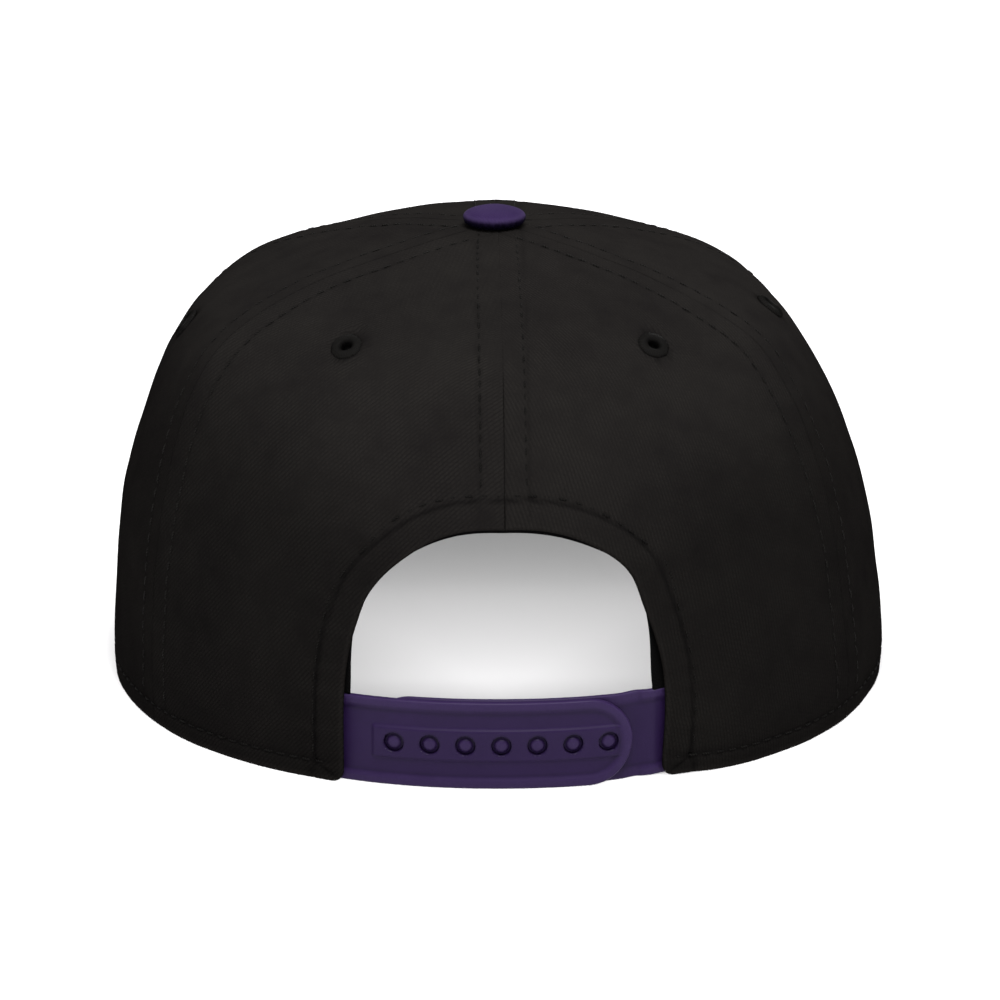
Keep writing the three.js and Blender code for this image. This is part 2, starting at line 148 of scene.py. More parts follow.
# from below the table is clear, so that the underside can be looked at
side = table_nodes.new("ShaderNodeNewGeometry")
clear = table_nodes.new("ShaderNodeBsdfTransparent")
either = table_nodes.new("ShaderNodeMixShader")
table_links.new(side.outputs["Backfacing"], either.inputs["Fac"])
table_links.new(table_shader.outputs["BSDF"], either.inputs[1])
table_links.new(clear.outputs["BSDF"], either.inputs[2])
table_links.new(either.outputs["Shader"], table_nodes["Material Output"].inputs["Surface"])
table_top.materials.append(table_paint)
table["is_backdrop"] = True
# the low lamp only brightens the table, also through the opening
lit = bpy.data.collections.new("lit_by_low_lamp")
lit.objects.link(table)
low_lamp.light_linking.receiver_collection = lit

# Crown panels
# Six panels of worn near-black cotton twill, 1.8 mm thick with their backing, sewn edge to edge from the rim to
# the middle of the top. The two back ones are cut away round the arched opening and hemmed along it.
HALF_WIDTH, FRONT, BACK, HEIGHT, SQUARENESS = 87, 94, 90, 101.5, 2.1
CLOTH = 1.8
# height, left, right, front and back as shares, and how flat the panels are between their seams
LEVELS = np.array(
    [
        (0, 1.004, 1.0, 0.985, 0.985, 0),
        (0.1, 1.008, 1.008, 1, 1, 0.02),
        (0.26, 1, 0.988, 1, 0.99, 0.06),
        (0.42, 0.982, 0.962, 0.97, 0.95, 0.12),
        (0.57, 0.945, 0.91, 0.92, 0.88, 0.2),
        (0.7, 0.89, 0.836, 0.845, 0.78, 0.28),
        (0.81, 0.795, 0.737, 0.76, 0.65, 0.34),
        (0.895, 0.615, 0.545, 0.61, 0.5, 0.36),
        (0.955, 0.35, 0.295, 0.385, 0.31, 0.3),
        (1, 0, 0, 0, 0, 0.2),
    ]
)
TOP = len(LEVELS) - 1


def shares(level):
    """The columns of LEVELS at a level, on a Catmull-Rom curve through its rows with straight ends."""
    rows = np.vstack([2 * LEVELS[0] - LEVELS[1], LEVELS, 2 * LEVELS[-1] - LEVELS[-2]])
    level = np.asarray(level, float)
    row = np.clip(np.floor(level).astype(int), 0, TOP - 1)
    f = (level - row)[..., None]
    a, b, c, d = rows[row], rows[row + 1], rows[row + 2], rows[row + 3]
    bend = (2 * a - 5 * b + 4 * c - d) * f**2 + (3 * b - a - 3 * c + d) * f**3
    return np.moveaxis(0.5 * (2 * b + (c - a) * f + bend), -1, 0)


def power(value, exponent):
    """The size of the value to a power, with the value's own sign."""
    return np.sign(value) * np.abs(value) ** exponent


def crown(angle, level):
    """The crown's outer face: a rounded rectangle at each level, drawn in between the seams by 1 - cos 30 / cos off."""
    angle, level = np.broadcast_arrays(np.asarray(angle, float), np.asarray(level, float))
    height, left, right, front, back, facet = shares(level)
    c, s = np.cos(np.radians(angle)), np.sin(np.radians(angle))
    off = np.radians((angle + 30) % 60 - 30)
    draw = 1 - facet * (1 - np.cos(np.pi / 6) / np.cos(off))
    x = HALF_WIDTH * np.where(c > 0, right, left) * power(c, 2 / SQUARENESS) * draw
    y = np.where(s > 0, FRONT * front, BACK * back) * power(s, 2 / SQUARENESS) * draw
    return np.stack([x, y, HEIGHT * height], -1)


def unit(vectors):
    """Each vector divided by its length."""
    return vectors / np.linalg.norm(vectors, axis=-1, keepdims=True)


def crown_facing(angle, level):
    """The outward normal, from the slopes sideways and upwards."""
    level = np.clip(level, 0, TOP - 0.12)
    sideways = crown(angle + 0.5, level) - crown(angle - 0.5, level)
    upwards = crown(angle, np.minimum(level + 0.02, TOP)) - crown(angle, np.maximum(level - 0.02, 0))
    return unit(np.cross(sideways, upwards))


# a fine table of the crown's levels, with its height, its middle radius and the way climbed along its face
fine_levels = np.linspace(0, TOP, 1801)
fine_heights = HEIGHT * shares(fine_levels)[0]
fine_radii = HALF_WIDTH * (shares(fine_levels)[1] + shares(fine_levels)[2]) / 2
fine_climb = np.concatenate([[0], np.cumsum(np.hypot(np.diff(fine_heights), np.diff(fine_radii)))])


def level_at(height):
    """The level at which the crown has that height, from the fine table."""
    return np.interp(height, fine_heights, fine_levels)


def back_angle(x, level):
    """The angle at the back where the crown is x to the right of the middle, by halving the range forty times."""
    x, level = np.broadcast_arrays(np.asarray(x, float), np.asarray(level, float))
    low, high = np.full(x.shape, 180.0), np.full(x.shape, 360.0)
    for _ in range(40):
        middle = (low + high) / 2
        less = crown(middle, level)[..., 0] < x
        low, high = np.where(less, middle, low), np.where(less, high, middle)
    return (low + high) / 2


def lay_out(angle, level, middle):
    """The laid-out cloth: millimetres sideways from a middle angle at that level, and millimetres up from the rim."""
    girth = np.radians(np.interp(level, fine_levels, fine_radii))
    return np.stack([(angle - middle) * girth, np.interp(level, fine_levels, fine_climb)], -1)


def take_up(flat, middle):
    """The way back, from the laid-out cloth to angle and level."""
    level = np.interp(flat[..., 1], fine_climb, fine_levels)
    girth = np.radians(np.interp(level, fine_levels, fine_radii))
    return middle + flat[..., 0] / np.maximum(girth, 1e-6), level


def nearest(points, path):
    """Distance from each point to a path through many points, and how far along the path its nearest point is."""
    flat = points.reshape(-1, points.shape[-1])
    steps = np.linalg.norm(np.diff(path, axis=0), axis=1)
    run = np.concatenate([[0], np.cumsum(steps)])
    batches = np.array_split(flat, 24)
    close = np.concatenate([np.argmin(((part[:, None] - path[None]) ** 2).sum(-1), 1) for part in batches])
    best, along = np.full(len(flat), 1e9), np.zeros(len(flat))
    for side in (-1, 0):
        first = np.clip(close + side, 0, len(path) - 2)
        edge = path[first + 1] - path[first]
        share = ((flat - path[first]) * edge).sum(-1) / np.maximum((edge**2).sum(-1), 1e-12)
        share = np.clip(share, 0, 1)
        away = np.linalg.norm(flat - path[first] - share[:, None] * edge, axis=1)
        better = away < best
        best = np.where(better, away, best)
        along = np.where(better, run[first] + share * steps[first], along)
    return best.reshape(points.shape[:-1]), along.reshape(points.shape[:-1])


def unevenness(points, size, seed):
    """Sum of sixteen waves of that length, each in its own direction and phase, from about -1 to 1."""
    chance = np.random.default_rng(seed)
    waves = unit(chance.normal(size=(16, 3))).T * 2 * np.pi / (size * chance.uniform(0.7, 1.6, 16))
    return np.sin(points @ waves + chance.uniform(0, 2 * np.pi, 16)).mean(-1) * 2.4


def ease(value, low, high):
    """From 0 at low to 1 at high, level at both ends: 3 s squared minus 2 s cubed."""
    share = np.clip((value - low) / (high - low), 0, 1)
    return share * share * (3 - 2 * share)


def bell(value, middle, width):
    """A soft hump of height 1 round the middle: exp of minus the square of the distance in widths."""
    return np.exp(-(((value - middle) / width) ** 2))


def rounding(distance, radius):
    """Height of a round edge as a share, from 0 on the edge to 1 at radius from it: a quarter circle."""
    return np.sqrt(1 - (1 - np.minimum(distance / radius, 1)) ** 2)


def ripples(along, seed):
    """Three waves of unlike lengths along a seam, from about -1 to 1."""
    phases = np.random.default_rng(seed).uniform(0, 2 * np.pi, 3)
    lengths, sizes = (4.3, 6.9, 2.7), (0.5, 0.35, 0.25)
    return sum(size * np.sin(2 * np.pi * along / length + phase) for length, size, phase in zip(lengths, sizes, phases))


def crown_swell(points):
    """Soft dents of worn cloth, in millimetres outwards."""
    return 0.32 * unevenness(points, 34, 3) + 0.12 * unevenness(points, 11, 4)


# How far the topstitching runs from a seam, the rim and the opening, and the grid lines crowded round it.
SEAM_ROW, RIM_ROW, ARCH_ROW = 5.3, 4.4, 6.3
EDGE_LINES = np.array([0, 0.05, 0.17, 0.34, 0.56, 0.9, 1.5, 2.3, 3.1, 3.8, 4.4, 4.9, 5.3, 5.7, 6.2, 6.8, 7.6, 8.7])


def crowded(width, step):
    """Shares of a width, with EDGE_LINES at both ends and a step apart between them."""
    inner = np.linspace(EDGE_LINES[-1], width - EDGE_LINES[-1], max(3, int((width - 2 * EDGE_LINES[-1]) / step)))[1:-1]
    return np.concatenate([EDGE_LINES, inner, width - EDGE_LINES[::-1]]) / width


# The opening's arch, the brim's sizes, and the crown's lower edge, which steps up over the brim at the front and is
# lifted a little right of the opening.
OPENING_HALF, OPENING_HEIGHT, OPENING_SPRING = 33.7, 55.9, 12
SEAT = 0.3
BRIM_HALF, BRIM_LENGTH, BRIM_BOARD, BRIM_ARCH, BRIM_DROOP = 89.5, 70, 3.4, 8, 3
BRIM_TIP = FRONT + BRIM_LENGTH
BRIM_WIDEST = 0.385 * BRIM_TIP
BRIM_START = 14
RIM_STEP = (9, 14.5)
RIGHT_LIFT = 1.1


def opening(share, grow=0):
    """Half a superellipse on straight legs, from 0 at the lower left to 1 at the lower right: x and height."""
    turn = np.pi * (1 - np.asarray(share, float))
    x = (OPENING_HALF + grow) * power(np.cos(turn), 0.8)
    return x, OPENING_SPRING + (OPENING_HEIGHT - OPENING_SPRING + grow) * np.abs(np.sin(turn)) ** 0.8


def worn_edge(x, z):
    """How far outwards wear has pulled the opening's edge at a height: bell curves in the height, none at x = 0."""
    right = 1.45 * bell(z, 21, 19) + 2 * bell(z, 47, 6) + 0.35 * bell(z, 0, 4)
    left = 0.35 * (1 - ease(z, 44, 52)) + 0.3 * bell(z, 41, 3) - 0.75 * bell(z, 51, 4.5)
    return np.sign(x) * np.where(x > 0, right, left) * ease(np.abs(x), 0, 14)


def brim_underside(x, y):
    """Height of the brim's lower face: a parabola across, that flattens and droops towards the tip."""
    arch = BRIM_ARCH * np.maximum(0, 1 - (x / BRIM_HALF) ** 2)
    reach = np.maximum(0, y - BRIM_WIDEST) / (BRIM_TIP - BRIM_WIDEST)
    return arch * (1 - reach * 0.2) - BRIM_DROOP * reach**2 * (arch / BRIM_ARCH)


def brim_thickness(angle):
    """The board's thickness, eased down to under half towards the brim's two ends."""
    turn = np.minimum(angle, 180 - angle)
    return BRIM_BOARD * (0.45 + 0.55 * ease(turn, BRIM_START, BRIM_START + 20))


def rim_height(angle):
    """Height of the crown's lower edge: level at the back and sides but for a slight rise right of the opening, and
    on the brim in front, with an eased step up between the two angles of RIM_STEP at each end of the brim."""
    angle = (np.asarray(angle, float) + 90) % 360 - 90
    rim = crown(angle, 0)
    turn = np.minimum(angle, 180 - angle)
    on_brim = brim_underside(rim[..., 0], rim[..., 1]) + brim_thickness(angle) - 0.15
    foot = np.where(rim[..., 1] < 0, RIGHT_LIFT * bell(rim[..., 0], 36, 9), 0)
    return on_brim * ease(turn, *RIM_STEP) + foot


class Amount:
    """A socket that varies over a surface. Sums on it add Math nodes, and node() adds any other node."""

    def __init__(self, tree, socket):
        self.tree, self.socket = tree, socket

    def node(self, kind, inputs=(), output=0, **settings):
        """Any node: its type, its sockets' values or links, the output to go on from, and its settings."""
        made = self.tree.nodes.new(kind)
        for name, value in settings.items():
            setattr(made, name, value)
        for key, value in dict(inputs).items():
            if isinstance(value, Amount):
                self.tree.links.new(value.socket, made.inputs[key])
            else:
                made.inputs[key].default_value = value
        return Amount(self.tree, made.outputs[output])

    def sum_of(self, operation, *values):
        """A Math node on values and sockets."""
        return self.node("ShaderNodeMath", enumerate(values), operation=operation)

    def __add__(self, other):
        return self.sum_of("ADD", self, other)

    def __sub__(self, other):
        return self.sum_of("SUBTRACT", self, other)

    def __rsub__(self, other):
        return self.sum_of("SUBTRACT", other, self)

    def __mul__(self, other):
        return self.sum_of("MULTIPLY", self, other)

    def __truediv__(self, other):
        return self.sum_of("DIVIDE", self, other)

    __radd__, __rmul__ = __add__, __mul__

    def whole(self):
        """The whole steps below it."""
        return self.sum_of("FLOOR", self)

    def part(self):
        """What is left over above the whole steps."""
        return self.sum_of("FRACT", self)

    def held(self, low=0, high=1):
        """Kept between two numbers."""
        return self.sum_of("MINIMUM", self.sum_of("MAXIMUM", self, low), high)

    def hump(self):
        """A rounded ridge over each whole step: 1 - (2 part - 1) squared."""
        across = self.part() * 2 - 1
        return 1 - across * across

    def blend(self, first, second):
        """From the first colour to the second by this amount."""
        first, second = (shade if isinstance(shade, Amount) else (*shade, 1) for shade in (first, second))
        return self.node("ShaderNodeMix", {0: self, 6: first, 7: second}, 2, data_type="RGBA")


class Finish:
    """A material: its shader, the place on the object in millimetres, and the piece's own UV map and marks."""

    def __init__(self, name, **sockets):
        self.material = bpy.data.materials.new(name)
        self.material.use_nodes = True
        self.tree = self.material.node_tree
        self.shader = self.tree.nodes["Principled BSDF"]
        for key, value in sockets.items():
            self.shader.inputs[key.replace("_", " ")].default_value = value
        self.start = Amount(self.tree, None)

    def place(self):
        """The place on the object, in millimetres."""
        corner = self.start.node("ShaderNodeTexCoord", output=3)
        return corner.node("ShaderNodeVectorMath", {0: corner, 3: 1000}, operation="SCALE")

    def map(self):
        """The two coordinates of the UV map, in millimetres."""
        both = self.start.node("ShaderNodeUVMap", uv_map="weave").socket
        apart = self.start.node("ShaderNodeSeparateXYZ", {0: Amount(self.tree, both)})
        return apart, Amount(self.tree, apart.socket.node.outputs[1])

    def mark(self, name):
        """One of the piece's marks, from 0 to 1 at each point."""
        return self.start.node("ShaderNodeAttribute", attribute_name=name, output=2)

    def speckle(self, place, scale, detail=2.0, rough=0.5):
        """Cloudy noise with that many spots to a millimetre."""
        return place.node("ShaderNodeTexNoise", {"Vector": place, "Scale": scale, "Detail": detail, "Roughness": rough})

    def wear(self, socket, value):
        """Feeds one of the shader's sockets."""
        self.tree.links.new(value.socket, self.shader.inputs[socket])

    def relief(self, height, depth):
        """Bumps of that depth in millimetres where height goes from 0 to 1."""
        bump = height.node("ShaderNodeBump", {"Strength": 1.0, "Distance": depth / 1000, "Height": height})
        self.wear("Normal", bump)


def twill(finish, dark, light, faded, painted_shading, rib, yarn, depth, painted_light_from_above=False):
    """Diagonal ribs a rib apart, broken into floats a yarn long that step on from rib to rib. The ribs' tops are
    painted lighter than the furrows as painted light and shade, patches are a little faded, the marks called fade are
    rubbed lighter, the mark of painted shade darkens creases, grooves and undersides, and the lining is grey. Where
    painted light from above is asked for, the top and middle are painted lightest and the low sides darker."""
    place = finish.place()
    across, along = finish.map()
    drift = finish.speckle(place, 0.25, 1.0)
    lines = across / rib + drift * 0.5
    floats = along / yarn + lines.whole() * 0.37
    lint = finish.speckle(place, 2.6, 3.0, 0.7)
    patches = finish.speckle(place, 0.045, 3.0)
    worn_flat = (finish.speckle(place, 0.16, 2.0) * 2.2 - 0.35).held(0.25, 1)
    height = lines.hump() * (floats.hump() * 0.5 + 0.5) * worn_flat
    # the ribs' tops are painted lighter than the furrows: painted light and shade; lint and patches vary the cloth's
    # own tone
    shade = height * 0.38 + lint * 0.55 + patches * 0.5 - 0.21
    dye_and_shading = shade.held().blend(dark, light)
    # painted light and shade: the crown's top and middle are painted lighter and its low sides darker, as light falls
    # from above
    if painted_light_from_above:
        up = finish.start.node("ShaderNodeSeparateXYZ", {0: place}, 2)
        sideways = finish.start.node("ShaderNodeSeparateXYZ", {0: place}) - 5
        sideways = sideways.sum_of("ABSOLUTE", sideways)
        shoulders = ((up - sideways * 0.5 + drift * 10 - 35) / 22).held()
        painted_light = (((up - 50) / 34).held() * 0.18 + 0.82) * (shoulders * 0.27 + 0.73)
        dye_and_shading = dye_and_shading.node("ShaderNodeVectorMath", {0: dye_and_shading, 3: painted_light}, operation="SCALE")
    worn = (finish.mark("fade") * (0.55 + lint * 0.9) - 0.1).held()
    outside = finish.mark("painted_shade").held().blend(worn.blend(dye_and_shading, faded), painted_shading)
    lining = lint.blend((0.03, 0.029, 0.028), (0.06, 0.058, 0.056))
    finish.wear("Base Color", finish.mark("lining").held().blend(outside, lining))
    finish.wear("Roughness", 0.98 - height * 0.12)
    finish.relief(height * 0.8 + lint * 0.35, depth)


# the crown's twill gets painted light from above, and its darkest colour is painted shade in creases and grooves
crown_cloth = Finish("worn_black_twill", Specular_IOR_Level=0.0)
twill(
    crown_cloth,
    dark=(0.0042, 0.0037, 0.0039),
    light=(0.0128, 0.0118, 0.0108),
    faded=(0.019, 0.017, 0.0155),
    painted_shading=(0.0016, 0.0015, 0.0016),
    rib=0.8,
    yarn=1.15,
    depth=0.12,
    painted_light_from_above=True,
)


def closed_wall(outer, inner, keep=None):
    """Joins two grids of points into one closed shell that shares its edge points. Where keep is false, the squares
    between the grids' points are left out of both, and the hole gets a wall of its own."""
    rows, columns = outer.shape[:2]
    front = np.arange(rows * columns).reshape(rows, columns)
    back = front + rows * columns
    back[[0, -1]], back[:, [0, -1]] = front[[0, -1]], front[:, [0, -1]]
    if keep is None:
        keep = np.ones((rows - 1, columns - 1), bool)

    def squares(grid):
        """The kept squares of a grid of point numbers, as rows of four corners."""
        return np.stack([grid[:-1, :-1], grid[:-1, 1:], grid[1:, 1:], grid[1:, :-1]], -1)[keep]

    faces = [squares(front), squares(back)[:, ::-1]]
    if not keep.all():
        sides = squares(front)
        starts, ends = sides.ravel(), np.roll(sides, -1, 1).ravel()
        key, mirrored = starts * rows * columns + ends, ends * rows * columns + starts
        alone = ~np.isin(key, mirrored)
        deep = back.ravel()
        rim = alone & (deep[starts] != starts) & (deep[ends] != ends)
        faces.append(np.stack([ends, starts, deep[starts], deep[ends]], -1)[rim])
    points = np.concatenate([outer.reshape(-1, 3), inner.reshape(-1, 3)])
    return points, np.concatenate(faces)


def make_piece(name, parts, finish, slot, replaces=(), weave=None, fade=None, painted_shade=None, lining=None):
    """Puts shells of points in millimetres and their faces into one smooth mesh in metres, drops unused points, and
    gives it its finish, UV map, marks and place on the cap. Faces are an array, or a list where their corners differ
    in number."""
    count, all_points, all_faces = 0, [], []
    for points, faces in parts:
        all_points.append(points)
        faces = faces.tolist() if isinstance(faces, np.ndarray) else faces
        all_faces += [[corner + count for corner in face] for face in faces]
        count += len(points)
    points = np.concatenate(all_points)
    used = np.zeros(len(points), bool)
    used[[corner for face in all_faces for corner in face]] = True
    order = (np.cumsum(used) - 1).tolist()
    faces = [[order[corner] for corner in face] for face in all_faces]
    mesh = bpy.data.meshes.new(name)
    mesh.from_pydata(((points + (0, axis_y, 0)) / 1000)[used].tolist(), [], faces)
    mesh.polygons.foreach_set("use_smooth", np.ones(len(mesh.polygons), bool))
    if weave is not None:
        layer = mesh.uv_layers.new(name="weave")
        turn = np.empty(len(mesh.loops), np.int32)
        mesh.loops.foreach_get("vertex_index", turn)
        layer.data.foreach_set("uv", weave.reshape(-1, 2)[used][turn].ravel().astype(np.float32))
    for mark, amount in (("fade", fade), ("painted_shade", painted_shade), ("lining", lining)):
        marks = mesh.attributes.new(mark, "FLOAT", "POINT")
        if amount is not None:
            marks.data.foreach_set("value", amount.ravel()[used].astype(np.float32))
    mesh.materials.append(finish.material)
    mesh.validate()
    piece = bpy.data.objects.new(name, mesh)
    bpy.context.scene.collection.objects.link(piece)
    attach(piece, "root")
    if replaces:
        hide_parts(*replaces)
    return piece


# each panel's first seam, how far the eyelet is turned from its middle, the eyelet's height as a share of the crown's,
# and the twill's direction, with angles in degrees
PANELS = {
    "side_right": (-30, -2, 0.812, 62),
    "front_right": (30, 0, 0.84, 48),
    "front_left": (90, 0, 0.84, 118),
    "side_left": (150, 0, 0.77, 75),
    "back_left": (210, -1.5, 0.843, 47),
    "back_right": (270, 4.7, 0.841, 98),
}
# the laid-out height and widths of the panels, the round corner at the opening's feet, and the degrees by which the
# middle seam of the back runs askew
PANEL_CLIMB, PANEL_WIDTH, BACK_PANEL_WIDTH = 128, 92, 64
CORNER = 2.4
ASKEW = 0.35


def side_line(angle, v):
    """A seam or any upright line of a panel from the rim to the top."""
    low = level_at(rim_height(angle))
    return low + (TOP - low) * v


def panel_grid(first):
    """Angle and level of the points of a panel: for most, upright lines between two seams. A back panel is blended
    from its four sides, which are the rim, the opening, the middle seam and the side seam."""
    v = crowded(PANEL_CLIMB, 1.6)
    if first < 200:
        u = crowded(PANEL_WIDTH, 1.6)
        angle = first + 60 * u[None, :] + 0 * v[:, None]
        return angle, side_line(angle, v[:, None])
    u = crowded(BACK_PANEL_WIDTH, 1.5)
    side = -1 if first == 210 else 1
    seam = 270 + 60 * side
    legs = np.linspace(0, OPENING_SPRING, 50)
    x, z = opening(0.5 + 0.5 * side * (1 - np.linspace(0, 1, 400)))
    x, z = np.concatenate([side * OPENING_HALF + 0 * legs[:-1], x]), np.concatenate([legs[:-1], z])
    path = lay_out(back_angle(x + worn_edge(x, z), level_at(z)), level_at(z), 270)
    low = rim_height(back_angle(side * (OPENING_HALF + 1.3), 0))
    foot = np.array([np.interp(low + CORNER, path[:80, 1], path[:80, 0]), low])
    path = np.concatenate([[foot], path[path[:, 1] > low + CORNER]])
    run = np.concatenate([[0], np.cumsum(np.linalg.norm(np.diff(path, axis=0), axis=1))])

    def arc(turn):
        """The round corner at the opening's foot, as a quarter circle."""
        return foot + np.stack([side * CORNER * (1 - np.sin(turn)), CORNER * (1 - np.cos(turn))], -1)

    far = v * run[-1]
    right = np.stack([np.interp(far, run, path[:, k]) for k in (0, 1)], -1)
    right = np.where(far[:, None] < CORNER, arc(np.pi / 2 - np.pi / 4 * (1 - far / CORNER)), right)
    start = lay_out(seam, level_at(rim_height(seam)), 270)
    bottom = start + (foot - start) * u[:, None]
    bottom[:, 1] = np.interp(rim_height(take_up(bottom, 270)[0]), fine_heights, fine_climb)
    near = np.abs(bottom[:, 0] - foot[0])
    bottom = np.where(near[:, None] < CORNER, arc(np.pi / 4 * (1 - near / CORNER)), bottom)
    left = lay_out(seam, side_line(seam, v), 270)
    top = left[-1] + (right[-1] - left[-1]) * u[:, None]
    u, v = u[None, :, None], v[:, None, None]
    across = (1 - v) * bottom[None] + v * top[None]
    upright = (1 - u) * left[:, None] + u * right[:, None]
    corners = (1 - v) * ((1 - u) * bottom[0] + u * bottom[-1]) + v * ((1 - u) * top[0] + u * top[-1])
    angle, level = take_up(across + upright - corners, 270)
    angle = angle + ASKEW * bell(angle, 270, 10)
    if side > 0:
        angle, level = angle[:, ::-1], level[:, ::-1]
    return angle, level


def eyelet_seat(first, turn, height):
    """The middle of a panel's eyelet on the crown's face, and the way out from there."""
    angle, level = first + 30 + turn, level_at(height * HEIGHT)
    return crown(angle, level), crown_facing(angle, level)


EYELET_HOLE = 1.95
for name, (first, turn, eyelet_height, direction) in PANELS.items():
    angle, level = panel_grid(first)
    base, facing = crown(angle, level), crown_facing(angle, level)
    # the panel's sides, as lines of points: the rim, the seams and the opening
    rim_side = base[0]
    left_side, right_side, top_side = base[:, 0], base[:, -1], base[-1]
    seams = [left_side, right_side]
    if name.startswith("back"):
        seams = [left_side if name == "back_left" else right_side, top_side]
    arch = {"back_left": right_side, "back_right": left_side}.get(name)
    # both faces are worked out from how far each point is from those sides: edge goes from 0 on a side to 1, depth is
    # how low the faces meet on it, raised is the cloth's own relief, rub and lining are marks for its finish, and the
    # darkening mark is painted shade in the seams' creases, the stitch grooves, the folds and round and under the
    # eyelet
    swell = crown_swell(base)
    rim_far, rim_along = nearest(base, rim_side)
    edge = rounding(rim_far, 0.6)
    depth = 0.16 + 0.48 * bell(rim_far, 0, 1.6)
    painted_shading = 0.55 * bell(rim_far, RIM_ROW, 0.45)
    raised = 0.16 * (1 - ease(rim_far, 4, 6.5)) - 0.3 * bell(rim_far, RIM_ROW, 0.6)
    raised += 0.16 * ripples(rim_along, 7) * bell(rim_far, RIM_ROW, 2.5)
    rub = 0.5 * np.exp(-rim_far / 1.1)
    lining = ease(rim_far, 2, 5)
    pressed = 0
    for k, seam in enumerate(seams):
        far, along = nearest(base, seam)
        if seam is top_side:
            pressed = ease(base[..., 2], 74, 90) * bell(far, 0, 3)
        edge = np.minimum(edge, rounding(far, 0.25))
        calm = 1 - 0.8 * bell(rim_far, 0, 5)
        raised += (0.1 * (1 - ease(far, 4.5, 8)) - 0.16 * bell(far, SEAM_ROW, 0.6)) * calm
        painted_shading = np.maximum(painted_shading, 0.3 * (1 - pressed) * np.exp(-far / 0.25))
        painted_shading = np.maximum(painted_shading, 0.2 * bell(far, SEAM_ROW, 0.4) * calm)
        raised += 0.13 * ripples(along, 11 + k) * bell(far, SEAM_ROW, 3) * calm
        rub = np.maximum(rub, 0.1 * bell(far, 1.6, 1.2))
    if arch is not None:
        far, along = nearest(base, arch)
        edge = np.minimum(edge, rounding(far, 0.6))
        lining = lining * ease(far, 2, 5)
        depth = np.maximum(depth, 0.16 + 0.48 * bell(far, 0, 1.6))
        painted_shading = np.maximum(painted_shading * (1 - bell(far, 0, 3)), 0.6 * bell(far, ARCH_ROW, 0.45))
        raised += 0.18 * (1 - ease(far, 5.6, 8)) - 0.34 * bell(far, ARCH_ROW, 0.6)
        raised += 0.26 * ripples(along, 23) * bell(far, ARCH_ROW, 4)
        rub = np.maximum(rub, 0.25 * np.exp(-far / 1.1))
        # the hem is folded on the slant at the foot of the opening, with painted shade along the fold
        corner = rim_side[-1 if first == 210 else 0]
        meeting = base.reshape(-1, 3)[np.argmin(np.abs(far - ARCH_ROW) + np.abs(rim_far - RIM_ROW))]
        slant, _ = nearest(base, corner + (meeting - corner) * np.linspace(0, 1, 30)[:, None])
        raised -= 0.22 * bell(slant, 0, 0.5)
        painted_shading = np.maximum(painted_shading, 0.45 * bell(slant, 0, 0.35))
    seat, axis = eyelet_seat(first, turn, eyelet_height)
    away = base - seat
    from_eyelet = np.linalg.norm(away, axis=-1)
    calm = 1 - bell(from_eyelet, 0, 5)
    lift = (swell + raised) * calm - 0.15 * bell(from_eyelet, 0, 4.5)
    # the middle seam of the back is pressed flat below the button
    depth = depth - pressed * (depth + 0.85 * lift)
    outer = base + facing * (lift * edge - depth * (1 - edge))[..., None]
    inner = base + facing * (0.4 * swell * calm * edge - depth - (CLOTH - depth) * edge)[..., None]
    # the hole for the eyelet: squares inside it go, and the points round it move onto its circle
    inside = from_eyelet < EYELET_HOLE + 0.35
    keep = ~(inside[:-1, :-1] | inside[1:, :-1] | inside[:-1, 1:] | inside[1:, 1:])
    touched = np.zeros(inside.shape, bool)
    for rows in (slice(0, -1), slice(1, None)):
        for columns in (slice(0, -1), slice(1, None)):
            touched[rows, columns] |= ~keep
    flat_away = away - (away @ axis)[..., None] * axis
    reach = np.maximum(np.linalg.norm(flat_away, axis=-1), 1e-6)
    snap = (flat_away * (EYELET_HOLE / reach - 1)[..., None]) * touched[..., None]
    outer, inner = outer + snap, inner + snap
    outer[0], outer[-1], outer[:, 0], outer[:, -1] = inner[0], inner[-1], inner[:, 0], inner[:, -1]
    # painted shadow under and round the eyelet, strongest below it
    below = np.clip(-away[..., 2] / np.maximum(from_eyelet, 1e-6), 0, 1)
    painted_shading = np.maximum(painted_shading, (0.45 + 0.5 * below) * bell(from_eyelet, 3.55, 0.4 + 0.3 * below))
    turned = np.radians(direction)
    flat = lay_out(angle, level, first + 30)
    weave = np.stack([flat @ (np.sin(turned), -np.cos(turned)), flat @ (np.cos(turned), np.sin(turned))], -1)
    make_piece(
        "crown_panel_" + name,
        [closed_wall(outer, inner, keep)],
        crown_cloth,
        "crown_cloth",
        ["panel_" + name],
        weave=np.concatenate([weave, weave]),
        fade=np.concatenate([rub, rub * 0]),
        painted_shade=np.concatenate([painted_shading, painted_shading * 0]),
        lining=np.concatenate([lining * 0, lining]),
    )

# Topstitching
# Black polyester thread, in rows either side of each seam, along the rim and round the opening. Each stitch is
# a short thread that dives into the cloth at both ends, and the rows sink a little into the twill.


def spun_thread(name, dark, light, roughness, shine):
    """Two-ply thread, of one colour between its plies and another on them."""
    finish = Finish(name, Specular_IOR_Level=shine)
    along_thread, round_thread = finish.map()
    plies = (along_thread * 1.6 + round_thread).hump()
    # the thread is painted darker between its plies than on them: painted shade
    finish.wear("Base Color", plies.blend(dark, light))
    finish.wear("Roughness", roughness - plies * 0.14)
    finish.relief(plies, 0.08)
    return finish


thread = spun_thread("black_thread", (0.0018, 0.0017, 0.0017), (0.0064, 0.006, 0.0056), 0.8, 0.01)
faded_thread = spun_thread("faded_black_thread", (0.0023, 0.0022, 0.0022), (0.0079, 0.0074, 0.0069), 0.8, 0.01)


